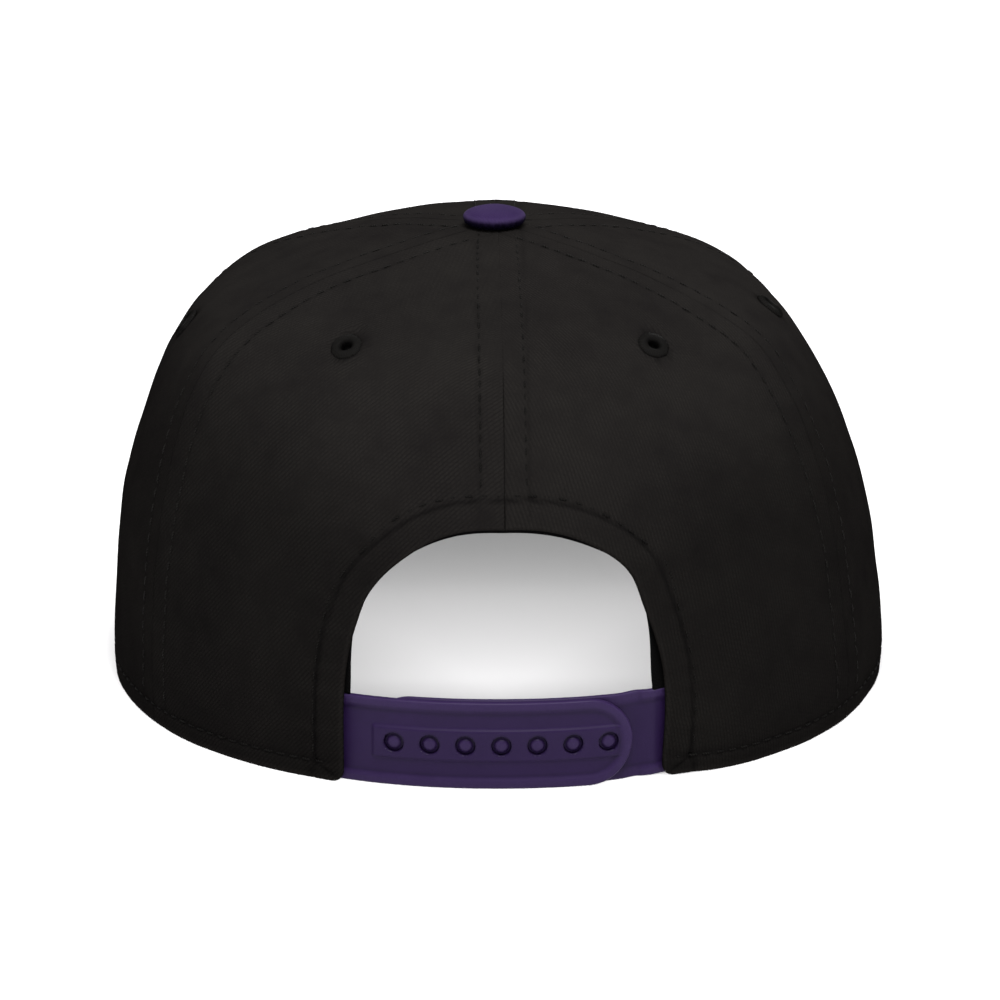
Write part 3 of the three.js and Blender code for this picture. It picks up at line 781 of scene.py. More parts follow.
def stitch_row(path, facing, pitch=3.3, length=2.9, thickness=0.5, lift=-0.2):
    """Stitches along a path: six-sided threads whose height goes as 1 - (2 s)^4 along the stitch, a pitch apart."""
    run = np.concatenate([[0], np.cumsum(np.linalg.norm(np.diff(path, axis=0), axis=1))])
    middles = np.arange(pitch / 2, run[-1] - pitch / 2, pitch)
    s = np.array([-0.5, -0.4, -0.2, 0, 0.2, 0.4, 0.5])
    around = np.linspace(0, 2 * np.pi, 6, endpoint=False)
    at = middles[:, None] + s * length
    spot = np.stack([np.interp(at, run, path[:, k]) for k in range(3)], -1)
    up = unit(np.stack([np.interp(at, run, facing[:, k]) for k in range(3)], -1))
    ahead = unit(np.gradient(spot, axis=1))
    side = np.cross(ahead, up)
    arch = thickness * (0.25 - 1.1 * (2 * s) ** 4 * 0.9) + lift
    fat = thickness / 2 * (1 - 0.75 * (2 * np.abs(s)) ** 6)
    spot = spot + up * arch[None, :, None]
    c, s = np.cos(around)[:, None], np.sin(around)[:, None]
    points = spot[:, :, None] + fat[None, :, None, None] * (side[:, :, None] * c + up[:, :, None] * s)
    count, rings, sides = points.shape[:3]
    index = np.arange(count * rings * sides).reshape(count, rings, sides)
    following = np.roll(index, -1, 2)
    faces = np.stack([index[:, :-1], following[:, :-1], following[:, 1:], index[:, 1:]], -1).reshape(-1, 4)
    first, last = index[:, 0], index[:, -1]
    caps = [first[:, [3, 2, 1, 0]], first[:, [5, 4, 3, 0]], last[:, [0, 1, 2, 3]], last[:, [0, 3, 4, 5]]]
    weave = np.stack(np.broadcast_arrays(at[:, :, None], around[None, None, :] / np.pi), -1)
    return points.reshape(-1, 3), np.concatenate([faces, *caps]), weave.reshape(-1, 2)


def sew(name, rows, slot, finish=thread):
    """Makes one piece of several rows of stitches."""
    make_piece(name, [row[:2] for row in rows], finish, slot, weave=np.concatenate([row[2] for row in rows]))


def on_crown(angle, level, lift=0.0):
    """Points and normals for a row on the crown's cloth."""
    base, facing = crown(angle, level), crown_facing(angle, level)
    return base + facing * (crown_swell(base) + lift)[..., None], facing


# Rows beside the seams stop at the button's edge and, beside the middle of the back, above the opening.
for name, (first, *_) in PANELS.items():
    rows = []
    for side in (-1, 1):
        low = OPENING_HEIGHT + ARCH_ROW + 1 if first == 270 else rim_height(first) + RIM_ROW + 2
        level = np.linspace(level_at(low), TOP - 0.22, 260)
        step = np.linalg.norm(crown(first + 0.5, level) - crown(first - 0.5, level), axis=-1)
        seam = first + ASKEW * (first == 270)
        rows.append(stitch_row(*on_crown(seam + side * SEAM_ROW / step, level), lift=-0.14))
    sew("seam_topstitching_" + name, rows, "crown_cloth", thread if first == 270 else faded_thread)

rim_rows = []
for low, high in ((-66.5, 29.5), (30.5, 149.5), (150.5, 246.5)):
    angle = np.linspace(low, high, 500)
    climb = np.interp(level_at(rim_height(angle)), fine_levels, fine_climb) + RIM_ROW
    rim_rows.append(stitch_row(*on_crown(angle, np.interp(climb, fine_climb, fine_levels))))
x, z = opening(np.linspace(0, 1, 700), ARCH_ROW)
legs = np.linspace(RIM_ROW + 1, OPENING_SPRING, 40)[:-1]
x, z = np.concatenate([0 * legs + x[0], x, 0 * legs + x[-1]]), np.concatenate([legs, z, legs[::-1]])
rim_rows.append(stitch_row(*on_crown(back_angle(x + worn_edge(x, z), level_at(z)), level_at(z))))
sew("rim_and_opening_topstitching", rim_rows, "crown_cloth")

# Seam tapes inside the crown
# Woven cotton tapes, 13 mm wide, that cover the raw seams from behind the sweatband up to the middle of the top.
band_cloth = Finish("black_cotton_tape", Specular_IOR_Level=0.0)
twill(
    band_cloth,
    dark=(0.0042, 0.004, 0.0042),
    light=(0.0135, 0.0127, 0.013),
    faded=(0.02, 0.019, 0.0185),
    painted_shading=(0.0015, 0.0015, 0.0015),
    rib=0.55,
    yarn=0.8,
    depth=0.1,
)
SEAM_TAPE_WIDTH, SEAM_TAPE_LENGTH, SEAM_TAPE = 13, 90, 0.5


def strip(at, columns, rows, thickness, lengths, edge=0.35):
    """A thin strip between depths: at(u, v, depth) gives its points, lengths its size in millimetres both ways."""
    u, v = np.meshgrid(columns, rows)
    far = np.minimum(np.minimum(u, 1 - u) * lengths[0], np.minimum(v, 1 - v) * lengths[1])
    half = thickness / 2 * rounding(far, edge)
    near, deep = at(u, v, thickness / 2 - half), at(u, v, thickness / 2 + half)
    weave = np.stack([(u * lengths[0] + v * lengths[1]) * 0.7, (v * lengths[1] - u * lengths[0]) * 0.7], -1)
    rub = np.exp(-far / 0.7)
    return closed_wall(near, deep), np.concatenate([weave, weave]), np.concatenate([rub, rub]) * 0.6


def spread(length, step, edge=(0, 0.08, 0.3, 0.7)):
    """Shares along a length with lines close together at both ends."""
    edge = np.array(edge)
    middle = np.linspace(edge[-1], length - edge[-1], max(3, int(length / step)))[1:-1]
    return np.concatenate([edge, middle, length - edge[::-1]]) / length


for name, (first, *_) in PANELS.items():
    low = OPENING_HEIGHT + 9 if first == 270 else 36

    def tape_at(u, v, depth):
        """Along a seam by v and across it by u, behind the cloth by its thickness, a soft swell and the depth."""
        level = level_at(low) + (TOP - 0.3 - level_at(low)) * v
        step = np.linalg.norm(crown(first + 0.5, level) - crown(first - 0.5, level), axis=-1)
        angle = first + np.clip((u - 0.5) * SEAM_TAPE_WIDTH / step, -29, 29)
        swell = 0.35 + 0.12 * unevenness(crown(angle, level), 9, 31)
        return crown(angle, level) - crown_facing(angle, level) * (CLOTH + swell + depth)[..., None]

    across, along = spread(SEAM_TAPE_WIDTH, 1.5), spread(SEAM_TAPE_LENGTH, 2)
    shell, weave, rub = strip(tape_at, across, along, SEAM_TAPE, (SEAM_TAPE_WIDTH, SEAM_TAPE_LENGTH))
    make_piece("seam_tape_" + name, [shell], band_cloth, "band_cloth", weave=weave, fade=rub)

# Eyelets
# Embroidered air holes, one high on each panel: satin stitches packed round a small hole and turned over its edge.
eyelet_thread = Finish("eyelet_thread", Specular_IOR_Level=0.01)
_, round_ring = eyelet_thread.map()
strands = round_ring.hump()
# the thread is painted darker between its strands than on them: painted shade
eyelet_thread.wear("Base Color", (strands * 0.8 + 0.1).blend((0.0012, 0.0012, 0.0012), (0.0076, 0.0071, 0.0067)))
eyelet_thread.wear("Roughness", 0.66 - strands * 0.14)
eyelet_thread.relief(strands, 0.1)
# radius and height round the ring's section, from its outer edge over the face, down the hole and back inside
EYELET_PROFILE = np.array(
    [(3.42, -0.25), (3.45, 0.1), (3.2, 0.42), (2.7, 0.68), (2.1, 0.78), (1.72, 0.68), (1.38, 0.4), (1.2, 0)]
    + [(1.14, -0.7), (1.14, -1.5), (1.3, -2.1), (1.75, -2.45), (2.4, -2.42), (2.85, -2.15), (2.9, -1.9), (2.3, -1.8)]
    + [(1.84, -1.7), (1.84, -0.9), (1.84, -0.3), (2.4, -0.22)]
)
STRANDS = 46


def turned_ring(profile, seat, axis, turns, ridge, seed):
    """A closed profile of radius and height, turned round an axis, with ridges round it like laid threads."""
    side = unit(np.cross(axis, (0.1, 0.2, 1)))
    other = np.cross(axis, side)
    around = np.linspace(0, 2 * np.pi, turns, endpoint=False)
    chance = np.random.default_rng(seed)
    uneven = np.repeat(chance.normal(0, 0.06, STRANDS), turns // STRANDS)
    swell = ridge * (np.abs(np.sin(around * STRANDS / 2)) - 0.5)
    slope = unit(np.roll(profile, -1, 0) - np.roll(profile, 1, 0))
    outwards = np.stack([slope[:, 1], -slope[:, 0]], -1) * -1
    radius = profile[:, :1] + outwards[:, :1] * swell[None] + uneven[None] * (profile[:, :1] > 3)
    height = profile[:, 1:] + outwards[:, 1:] * swell[None] * (profile[:, 1:] > -0.2)
    radial = side[None] * np.cos(around)[:, None] + other[None] * np.sin(around)[:, None]
    points = seat + radius[..., None] * radial[None] + height[..., None] * axis
    count = len(profile)
    index = np.arange(count * turns).reshape(count, turns)
    below, beside = np.roll(index, -1, 0), np.roll(index, -1, 1)
    faces = np.stack([index, beside, np.roll(below, -1, 1), below], -1).reshape(-1, 4)
    weave = np.stack(np.broadcast_arrays(profile[:, :1], (around * STRANDS / (2 * np.pi))[None]), -1)
    return points.reshape(-1, 3), faces, weave.reshape(-1, 2)


for name, (first, turn, height, _) in PANELS.items():
    seat, axis = eyelet_seat(first, turn, height)
    *ring, weave = turned_ring(EYELET_PROFILE, seat - 0.1 * axis, axis, STRANDS * 4, 0.16, 40 + first)
    make_piece("embroidered_eyelet_" + name, [ring], eyelet_thread, "eyelet_thread", ["eyelet_" + name], weave)

# Button
# A metal cap covered in purple twill that is gathered under its edge, riveted through the crown a hair left of its
# middle.
# the twill's darkest colour is painted shade, used on the button's underside and in the brim's grooves
purple_cloth = Finish("purple_twill", Specular_IOR_Level=0.02)
twill(
    purple_cloth,
    dark=(0.0085, 0.0042, 0.021),
    light=(0.027, 0.0155, 0.052),
    faded=(0.04, 0.027, 0.07),
    painted_shading=(0.0016, 0.0009, 0.005),
    rib=0.55,
    yarn=0.8,
    depth=0.04,
)
BUTTON_RADIUS, BUTTON_STEM, BUTTON_EDGE, BUTTON_SHIFT = 7, 5, 1.6, 0.8
button_base = 1000 * button_low.z + BUTTON_STEM
button_top = 1000 * button_high.z - 0.5


def button_surface(u, v):
    """A flattened dome: radius and height go as cos and sin of v, with a tucked edge below and pleats round it."""
    around, climb = 2 * np.pi * u, v
    radius = np.interp(climb, [0, 0.12, 0.2, 0.26, 0.34, 0.42, 1], [2.2, 2.2, 5.3, 6.0, 6.7, BUTTON_RADIUS, 0])
    height = np.interp(climb, [0, 0.12, 0.2, 0.26, 0.34, 0.42], [-BUTTON_STEM, 0.1, 0, 0.1, 0.75, BUTTON_EDGE])
    dome = ease(climb, 0.42, 0.43)
    bend = np.clip((climb - 0.42) / 0.58, 0, 1) * np.pi / 2
    rise = button_top - button_base - BUTTON_EDGE
    radius = radius * (1 - dome) + dome * BUTTON_RADIUS * np.cos(bend) ** 0.86
    height = height * (1 - dome) + dome * (BUTTON_EDGE + rise * np.sin(bend) ** 0.9)
    tuck = bell(climb, 0.33, 0.09)
    radius = radius + 0.13 * tuck * (np.sin(26 * around) + 0.5 * np.sin(11 * around + 1))
    place = np.stack([radius * np.cos(around) - BUTTON_SHIFT, radius * np.sin(around), button_base + height], -1)
    return place + (0.08 * unevenness(place, 5, 51))[..., None] * np.array([0.4, 0.4, 0.3])


BUTTON_TURNS = 144
rings = np.concatenate([[0, 0.12, 0.16], np.linspace(0.2, 0.44, 14), np.linspace(0.47, 1, 26)])
around = np.linspace(0, 1, BUTTON_TURNS, endpoint=False)
points = button_surface(*np.meshgrid(around, rings))
points[-1] = points[-1].mean(0)
weave = np.stack([points[..., 0] * 0.8 + points[..., 1] * 0.6, points[..., 1] * 0.8 - points[..., 0] * 0.6], -1)
index = np.arange(points.shape[0] * BUTTON_TURNS).reshape(-1, BUTTON_TURNS)
beside = np.roll(index, -1, 1)
walls = np.stack([index[:-1], beside[:-1], beside[1:], index[1:]], -1)
tip = np.stack([index[-2], beside[-2], np.full(BUTTON_TURNS, index[-1, 0])], -1)
button_faces = walls[:-1].reshape(-1, 4).tolist() + tip.tolist() + [index[0][::-1].tolist()]
climb = np.broadcast_to(rings[:, None], points.shape[:2])
# the button's stem and tucked edge are painted dark, fading out up the dome's side: painted shade under its edge
make_piece(
    "cloth_covered_button",
    [(points.reshape(-1, 3), button_faces)],
    purple_cloth,
    "brim_cloth",
    ["top_button"],
    weave.reshape(-1, 2),
    fade=bell(climb, 0.5, 0.12) * 0.5,
    painted_shade=1 - ease(climb, 0.34, 0.6),
)

# Brim
# A stiff board between two layers of purple twill, bound by eight rows of stitching that follow its edge, and sewn
# under the front panels. It is arched across, and droops a little towards the tip.
OUTLINE = np.array(
    [(0.966, 0.165), (0.985, 0.265), (1, 0.385), (0.985, 0.53), (0.93, 0.69), (0.8, 0.84), (0.58, 0.938)]
    + [(0.3, 0.985), (0, 1)]
)


def brim_outline(u):
    """The outer edge from the right end to the left, on a Catmull-Rom curve through the rows of OUTLINE: half the edge
    up to the tip, as shares of the brim's half width and of the tip's distance."""
    row = (1 - np.abs(2 * u - 1)) * (len(OUTLINE) - 1)
    rows = np.vstack([2 * OUTLINE[0] - OUTLINE[1], OUTLINE, 2 * OUTLINE[-1] - OUTLINE[-2]])
    k = np.clip(np.floor(row).astype(int), 0, len(OUTLINE) - 2)
    f = (row - k)[..., None]
    a, b, c, d = rows[k], rows[k + 1], rows[k + 2], rows[k + 3]
    curve = 0.5 * (2 * b + (c - a) * f + (2 * a - 5 * b + 4 * c - d) * f**2 + (3 * b - a - 3 * c + d) * f**3)
    return np.stack([curve[..., 0] * BRIM_HALF * np.where(u > 0.5, -1, 1), curve[..., 1] * BRIM_TIP], -1)


BRIM_ROWS = 4.5 + 5.6 * np.arange(8)
root_lines, tip_lines = [0, 0.001, 0.004, 0.008], 1 - np.array([0.032, 0.022, 0.013, 0.006, 0.002, 0])
u, v = np.meshgrid(spread(250, 1.1), np.concatenate([root_lines, np.linspace(0.015, 0.965, 60), tip_lines]))
brim_angle = BRIM_START + (180 - 2 * BRIM_START) * u
brim_root = crown(brim_angle, level_at(rim_height(brim_angle)))
brim_root = brim_root - (CLOTH + 0.3) * crown_facing(brim_angle, level_at(rim_height(brim_angle)))
across = brim_root[..., :2] + (brim_outline(u) - brim_root[..., :2]) * v[..., None]
edge_path = brim_outline(np.linspace(0, 1, 900))
edge_far, edge_along = nearest(across, edge_path)
end_far = np.minimum(u, 1 - u) * 200
rim_edge = np.minimum(edge_far, end_far)
half = brim_thickness(brim_angle) / 2 * np.minimum(rounding(rim_edge, 1.5), rounding(v * 60, 0.4))
middle = brim_underside(across[..., 0], across[..., 1]) + brim_thickness(brim_angle) / 2
groove = sum(bell(edge_far, row, 0.55) for row in BRIM_ROWS)
pillow = 0.12 * ripples(edge_along, 61) - 0.28 * groove + 0.14 * unevenness(np.dstack([across, middle]), 12, 62)
pillow = pillow * ease(rim_edge, 1, 3)
top_side = np.dstack([across, middle + half + pillow * 0.8])
under_side = np.dstack([across, middle - half - pillow * 0.8])
top_side[0], top_side[-1], top_side[:, 0], top_side[:, -1] = [
    (top_side[cut] + under_side[cut]) / 2 for cut in (0, -1, (slice(None), 0), (slice(None), -1))
]
weave = np.stack([across @ (0.64, 0.77), across @ (0.77, -0.64)], -1)
rub = np.exp(-edge_far / 1.4)
shell = closed_wall(under_side, top_side)
# painted shade in the stitch grooves and at the root, where the brim goes in under the crown
painted_shading = np.minimum(groove * 0.6 + 0.7 * np.exp(-v * 40 / 1.2), 1)
doubled = [np.concatenate([part, part]) for part in (weave, rub, painted_shading)]
make_piece("brim_board_in_twill", [shell], purple_cloth, "brim_cloth", ["brim"], *doubled)

purple_thread = spun_thread("purple_thread", (0.009, 0.004, 0.024), (0.04, 0.023, 0.08), 0.62, 0.1)


def brim_row(inset, upper):
    """A row of stitches at an inset from the brim's edge, kept where it is outside the crown."""
    slope = unit(np.gradient(edge_path, axis=0))
    path = edge_path + inset * np.stack([-slope[:, 1], slope[:, 0]], -1)
    turn = np.degrees(np.arctan2(path[:, 1], path[:, 0]))
    reach = np.linalg.norm(crown(turn, level_at(rim_height(turn)))[:, :2], axis=1)
    path = path[(np.linalg.norm(path, axis=1) > reach + 1.2) & (np.abs(path[:, 0]) < BRIM_HALF) & (path[:, 1] > 20)]
    turn = np.degrees(np.arctan2(path[:, 1], path[:, 0]))
    middle = brim_underside(path[:, 0], path[:, 1]) + brim_thickness(turn) / 2
    height = middle + upper * (brim_thickness(turn) / 2 - 0.12)
    path = np.column_stack([path, height])
    return stitch_row(path, np.tile((0.0, 0, upper), (len(path), 1)), 3.4, 2.9, 0.5)


sew("brim_stitching", [brim_row(inset, side) for inset in BRIM_ROWS for side in (-1, 1)], "brim_cloth", purple_thread)

# Sweatband
# A folded strip of black cotton twill inside the rim, from one side of the opening round the front to the other. It
# steps inwards at its ends, where the strap is sewn in behind it, and a row of stitches holds its lower edge.
BAND_LENGTH, BAND_HEIGHT, BAND, BAND_LIFT = 480, 32, 1.2, 1.2
STRAP_HALF, STRAP, STRAP_MIDDLE, COVER = 9.75, 1.2, 9.95, 3.1
TAIL = OPENING_HALF + 13
band_end = back_angle(OPENING_HALF + 1, level_at(BAND_HEIGHT / 2)) - 360


def band_at(u, v, depth):
    """Round inside the rim by u and up by v: behind the cloth, or behind the strap's tail near the opening, with soft
    rucks between its edges."""
    angle = band_end + (180 - 2 * band_end) * u
    rim = crown(angle, 0)
    turn = np.minimum(angle, 180 - angle)
    low = BAND_LIFT + brim_underside(rim[..., 0], rim[..., 1]) * np.clip((turn - 6) / 6, 0, 1)
    beside = np.abs(rim[..., 0]) - TAIL
    step = np.where(rim[..., 1] < 0, 1 - ease(beside, 2, 14), 0)
    behind = CLOTH + (COVER + STRAP - CLOTH) * step + SEAT
    level = np.maximum(level_at(low + BAND_HEIGHT * v), 0.02)
    base = crown(angle, level)
    ruck = 0.2 * unevenness(base, 16, 71) * ease(np.minimum(v, 1 - v), 0, 0.1)
    facing = crown_facing(angle, level)
    return base - facing * (behind + 0.15 + depth + ruck)[..., None]


band_lines = spread(BAND_LENGTH, 1.6), spread(BAND_HEIGHT, 0.9)
shell, weave, rub = strip(band_at, *band_lines, BAND, (BAND_LENGTH, BAND_HEIGHT), 0.6)
make_piece("sweatband_strip", [shell], band_cloth, "band_cloth", ["sweatband"], weave, rub)

u = np.linspace(0.008, 0.992, 900)
band_rows = []
for v in (0.1, 0.93):
    line = band_at(u, 0 * u + v, 0 * u + BAND)
    facing = -crown_facing(band_end + (180 - 2 * band_end) * u, level_at(BAND_HEIGHT * v))
    band_rows.append(stitch_row(line, facing, 3.4, 2.9, 0.45))
sew("sweatband_stitching", band_rows, "band_cloth")

# Opening tape
# A narrow folded tape sewn inside the edge of the opening. It shows as a thin dark lip at the top of the arch, and
# where the cloth gapes beside the strap.
TAPE_LENGTH, TAPE_WIDTH, TAPE = 130, 8, 0.8
tape_foot = 0.2 + 2 * STRAP_HALF + SEAT
share = np.linspace(0, 0.5, 4000)
tape_start = np.interp(tape_foot, opening(share)[1], share)


def lip_at(u, v, depth):
    """Round the arch by u and outwards by v, from a lip that stands out into the opening where the cloth gapes."""
    along = tape_start + (1 - 2 * tape_start) * (1 - u)
    z = opening(along)[1]
    gape = np.where(along > 0.5, 3 * (1 - ease(z, 23, 41)), 1.7 * (1 - ease(z, 20, 38)))
    lip = gape - 0.9 + 1.2 * ease(z, 45, 56)
    x, z = opening(along, (TAPE_WIDTH + lip) * v - lip)
    level = level_at(np.maximum(z, tape_foot))
    angle = back_angle(x + worn_edge(x, z), level)
    base = crown(angle, level)
    return base - crown_facing(angle, level) * (CLOTH + SEAT + TAPE - depth)[..., None]


lip_lines = spread(TAPE_LENGTH, 0.8), spread(TAPE_WIDTH + 0.8, 0.8)
shell, weave, rub = strip(lip_at, *lip_lines, TAPE, (TAPE_LENGTH, TAPE_WIDTH + 0.8), 0.4)
make_piece("opening_lip_tape", [shell], band_cloth, "band_cloth", ["opening_tape"], weave, rub * 0, 0.9 + rub * 0)

# Strap with sockets
# The left half of the snap strap, moulded in one piece in satin purple plastic: a raised border, a raised bar along
# the middle with seven holes, and a rounded end. Its tail is sewn in behind the left of the opening.
strap_plastic = Finish("purple_strap_plastic", Specular_IOR_Level=0.1)
strap_place = strap_plastic.place()
grain = strap_plastic.speckle(strap_place, 1.8, 3.0, 0.6)
haze = strap_plastic.speckle(strap_place, 0.12, 3.0)
scuffs = strap_place.node("ShaderNodeVectorMath", {0: strap_place, 1: (0.35, 0.35, 5.0)}, operation="MULTIPLY")
scuffs = (strap_plastic.speckle(scuffs, 0.6, 2.0) * 6 - 3.6).held()
tone = (haze * 0.7 + grain * 0.35 - 0.1).held()
moulded = tone.blend((0.008, 0.0029, 0.0212), (0.0144, 0.0061, 0.0338))
rubbed = (strap_plastic.mark("fade") * (grain + 0.35) + scuffs * 0.12).held()
aged = rubbed.blend(moulded, (0.026, 0.0145, 0.053))
# the mark of painted shade darkens the plastic to a deep purple: painted shade round the holes and studs and inside the
# border
strap_plastic.wear("Base Color", strap_plastic.mark("painted_shade").held().blend(aged, (0.002, 0.001, 0.006)))
strap_plastic.wear("Roughness", 0.4 + haze * 0.16 + scuffs * 0.15)
strap_plastic.relief(grain * 0.7 + scuffs * 0.3, 0.035)
SOCKET_TIP, STUD_TIP = 28.7, 30
HOLE = 2.2
STUDS = -0.2 + 7.85 * (np.arange(7) - 3)


def strap_point(x, depth, height):
    """A place on the strap and the way out there: x along it, depth inwards from the superellipse of the crown's back,
    height up from the table."""
    share = np.abs(x) / HALF_WIDTH
    y = -BACK * (1 - share**SQUARENESS) ** (1 / SQUARENESS)
    sideways = np.sign(x) * share ** (SQUARENESS - 1) / HALF_WIDTH
    backwards = (np.abs(y) / BACK) ** (SQUARENESS - 1) / BACK
    facing = unit(np.stack([sideways, -backwards, 0 * x], -1))
    return np.stack([x, y, height], -1) - facing * depth[..., None], facing


def strap_grid(tail, tip, step, insets):
    """Lines along the strap's outline, up one side, round the tip and back, and insets from it to the middle line.
    Gives x, height, and the distance from the outline."""
    towards = np.sign(tip)
    bend = tip - towards * STRAP_HALF
    straight = np.linspace(0, 1, int(abs(bend - tail) / step))
    # the tail end is closed by lines crowded at it
    crowd = np.array([0, 0.08, 0.3, 0.7, 1.2]) / 65
    straight = np.concatenate([crowd[:-1], straight[straight > crowd[-1]]])
    turn = np.linspace(0, np.pi, 96)[1:-1]
    radius = STRAP_HALF - insets[:, None]
    flat_x = tail + (bend - tail) * straight
    upper_x = np.broadcast_to(flat_x, (len(insets), len(flat_x)))
    side = np.ones(len(flat_x))
    x = np.hstack([upper_x, bend + towards * radius * np.sin(turn), upper_x[:, ::-1]])
    z = np.hstack([radius * side, radius * np.cos(turn), -radius * side])
    return x, z, np.broadcast_to(insets[:, None], x.shape)


def fold_shut(points, faces):
    """Joins points that lie on each other, which closes the middle line of a strap and its tail."""
    keys = np.round(points * 2000).astype(np.int64)
    _, first, where = np.unique(keys, axis=0, return_index=True, return_inverse=True)
    faces = first[where.ravel()][faces]
    kept = [list(dict.fromkeys(face)) for face in faces.tolist()]
    return points, [face for face in kept if len(face) > 2]


# insets of the grid's lines: close together on the rounded edge and the border's slope, and even up to the middle
EDGE_INSETS = [0, 0.04, 0.14, 0.28, 0.45, 0.8, 1.2, 1.5, 1.7, 1.9, 2.1, 2.3, 2.5, 2.7, 2.9]
INSETS = np.concatenate([EDGE_INSETS, np.linspace(3.2, STRAP_HALF, 26)])


def strap_shell(tail, tip, near, far, relief, holes=()):
    """Half a strap from its tail to its round tip, between two depths that follow x, raised by the relief, with
    rounded edges and round holes. Gives the two faces' points, the squares to keep, the fade mark for wear and a mark
    of painted shade."""
    x, z, inset = strap_grid(tail, tip, 0.3, INSETS)
    from_tail = np.abs(x - tail)
    edge = rounding(np.minimum(inset, from_tail), 0.45)
    if len(holes):
        gap_x = x[..., None] - holes
        nearest_hole = np.argmin(np.abs(gap_x), -1)
        gap = np.take_along_axis(gap_x, nearest_hole[..., None], -1)[..., 0]
        away = np.hypot(gap, z)
        # points near a hole's circle are drawn onto it
        ring = np.where(away < HOLE + 0.18, HOLE, away)
        scale = np.where((away < HOLE + 0.18) & (away > HOLE - 0.32), ring / np.maximum(away, 1e-6), 1)
        x, z = x + gap * (scale - 1), z * scale
        away = np.hypot(gap * scale, z)
        inside = away < HOLE - 0.02
        keep = ~(inside[:-1, :-1] | inside[1:, :-1] | inside[:-1, 1:] | inside[1:, 1:])
        edge_hole = rounding(np.maximum(away - HOLE, 0) + 0.12, 0.45)
    else:
        keep, edge_hole, away = np.ones((x.shape[0] - 1, x.shape[1] - 1), bool), 1, 99 + 0 * x
    front, back = near(x) - relief(x, z, inset), far(x)
    front_depth = back - (back - front) * (0.5 + 0.5 * edge) + (1 - edge_hole) * 0.35
    back_depth = front + (back - front) * (0.5 + 0.5 * edge)
    # the sewn-in end at the right sits a little higher than the rest
    height = STRAP_MIDDLE + z + RIGHT_LIFT * ease(x, 25, 37)
    front_points = strap_point(x, front_depth, height)[0]
    back_points = strap_point(x, back_depth, height)[0]
    rub = 0.45 * (1 - ease(inset, 1.3, 2.8)) + 0.2 * np.exp(-inset / 0.5)
    # painted shade in the rings round the holes and along the inner foot of the border
    recess_shade = 0.4 * bell(away - HOLE, -0.1, 0.3) + 0.25 * bell(inset, 2.9, 0.35)
    return front_points, back_points, keep, rub, recess_shade


def socket_relief(x, z, inset):
    """Half a millimetre up for the border beyond the sewn part, and for the bar along the middle."""
    border = (1 - ease(inset, 1.5, 2.9)) * ease(x, -38, -36)
    bar = (1 - ease(np.abs(z), 3.1, 3.9)) * ease(x, -28.7, -28) * (1 - ease(x, 27.2, 28))
    return 0.5 * np.maximum(border, bar)


def strap_faces(front_points, back_points, keep, flip):
    """Both faces of the strap, the wall along its outline and the walls of its holes."""
    count = front_points.shape[0] * front_points.shape[1]
    index = np.arange(count).reshape(front_points.shape[:2])
    squares = np.stack([index[:-1, :-1], index[:-1, 1:], index[1:, 1:], index[1:, :-1]], -1)[keep]
    outline = np.stack([index[0, 1:], index[0, :-1], index[0, :-1] + count, index[0, 1:] + count], -1)
    tail = np.stack([index[:-1, 0], index[1:, 0], index[1:, 0] + count, index[:-1, 0] + count], -1)
    tail_back = np.stack([index[1:, -1], index[:-1, -1], index[:-1, -1] + count, index[1:, -1] + count], -1)
    starts, ends = squares.ravel(), np.roll(squares, -1, 1).ravel()
    alone = ~np.isin(starts * count + ends, ends * count + starts)
    row = index.shape[1]
    on_side = (np.arange(count) < row) | (np.arange(count) >= count - row)
    on_side |= (np.arange(count) % row == 0) | (np.arange(count) % row == row - 1)
    rim = alone & ~(on_side[starts] & on_side[ends])
    holes = np.stack([ends, starts, starts + count, ends + count], -1)[rim]
    faces = np.concatenate([squares, squares[:, ::-1] + count, outline, tail, tail_back, holes])
    if flip:
        faces = faces[:, ::-1]
    return fold_shut(np.concatenate([front_points.reshape(-1, 3), back_points.reshape(-1, 3)]), faces)


front_points, back_points, keep, rub, recess_shade = strap_shell(
    -TAIL, SOCKET_TIP, lambda x: COVER + 0 * x, lambda x: COVER + STRAP + 0 * x, socket_relief, STUDS
)
make_piece(
    "socket_strap",
    [strap_faces(front_points, back_points, keep, True)],
    strap_plastic,
    "strap_plastic",
    ["strap_sockets"],
    fade=np.concatenate([rub, rub]),
    painted_shade=np.concatenate([recess_shade, recess_shade]),
)

# Strap with studs
# The right half, in the same plastic. It bends in behind the socket half, and its seven round studs press into the
# holes. Its tail is sewn in behind the right of the opening.
BEHIND = STRAP + SEAT


def stud_near(x):
    """Depth of the stud half's outer face: behind the socket half, and eased out to the cloth beyond its tip."""
    return COVER + BEHIND - BEHIND * ease(x, SOCKET_TIP + SEAT, OPENING_HALF)


def plain_relief(x, z, inset):
    """A raised border beyond the socket half's tip."""
    return 0.35 * (1 - ease(inset, 1.5, 2.9)) * ease(x, SOCKET_TIP + 1.5, SOCKET_TIP + 2.5) * (1 - ease(x, 38, 40))


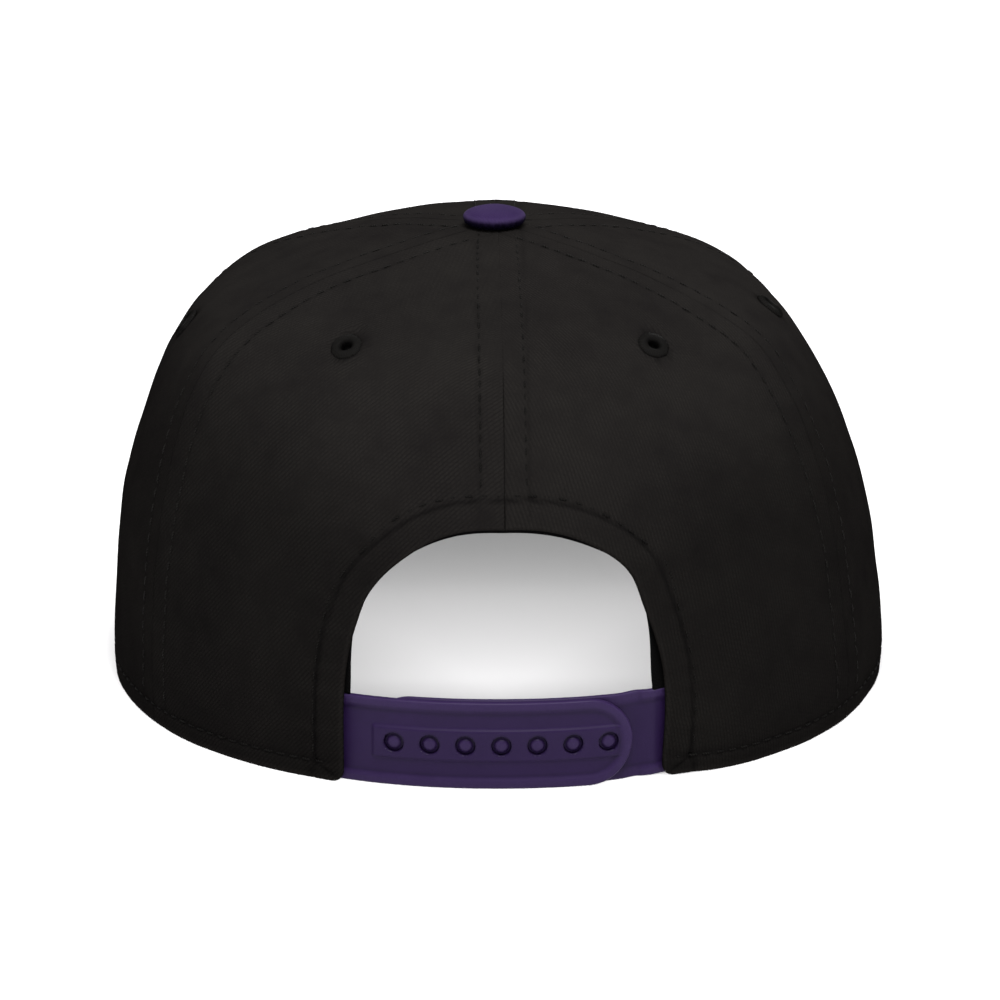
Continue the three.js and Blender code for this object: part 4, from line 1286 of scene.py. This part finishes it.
front_points, back_points, keep, rub, recess_shade = strap_shell(
    TAIL, -STUD_TIP, stud_near, lambda x: stud_near(x) + STRAP, plain_relief
)
shells = [strap_faces(front_points, back_points, keep, False)]
rubs, recess_shades = [np.concatenate([rub, rub]).ravel()], [np.concatenate([recess_shade, recess_shade]).ravel()]
# radius and height of a stud: its raised middle, the shallow ring round that, and the wall that fills the hole
STUD_PROFILE = np.array(
    [(0, 0.86), (0.45, 0.86), (0.9, 0.83), (1.18, 0.74), (1.36, 0.57), (1.5, 0.41), (1.66, 0.31), (1.85, 0.27)]
    + [(2.08, 0.25), (2.12, 0.1), (2.12, -1.2), (1.7, -1.5), (0, -1.5)]
)
STUD_TURNS, STUD_TOP, STUD_FOOT = 40, 0.86, -1.5
for x in STUDS:
    seat, axis = strap_point(np.array(x), np.array(COVER + 0.6), np.array(STRAP_MIDDLE))
    side = unit(np.cross((0, 0, 1.0), axis))
    turns = np.linspace(0, 2 * np.pi, STUD_TURNS, endpoint=False)
    radial = side * np.cos(turns)[:, None] + np.array([0, 0, 1.0]) * np.sin(turns)[:, None]
    profile = STUD_PROFILE[1:-1]
    ring = seat + profile[:, :1, None] * radial[None] + profile[:, 1:, None] * axis
    points = np.concatenate([ring.reshape(-1, 3), [seat + STUD_TOP * axis, seat + STUD_FOOT * axis]])
    index = np.arange(len(profile) * STUD_TURNS).reshape(-1, STUD_TURNS)
    beside = np.roll(index, -1, 1)
    middle_top, middle_low = len(points) - 2, len(points) - 1
    sides = np.stack([index[:-1], index[1:], beside[1:], beside[:-1]], -1).reshape(-1, 4).tolist()
    top = np.stack([index[0], beside[0], np.full(STUD_TURNS, middle_top)], -1).tolist()
    low = np.stack([beside[-1], index[-1], np.full(STUD_TURNS, middle_low)], -1).tolist()
    shells.append((points, sides + top + low))
    rubs.append(np.concatenate([np.repeat(0.4 * (1 - ease(profile[:, 0], 0.9, 1.4)), STUD_TURNS), [0.5, 0]]))
    # painted shade in the shallow ring round each stud
    recess_shades.append(np.concatenate([np.repeat(0.5 * ease(profile[:, 0], 1.25, 1.7), STUD_TURNS), [0, 0]]))
make_piece(
    "stud_strap",
    shells,
    strap_plastic,
    "strap_plastic",
    ["strap_studs"],
    fade=np.concatenate(rubs),
    painted_shade=np.concatenate(recess_shades),
)

low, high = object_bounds()
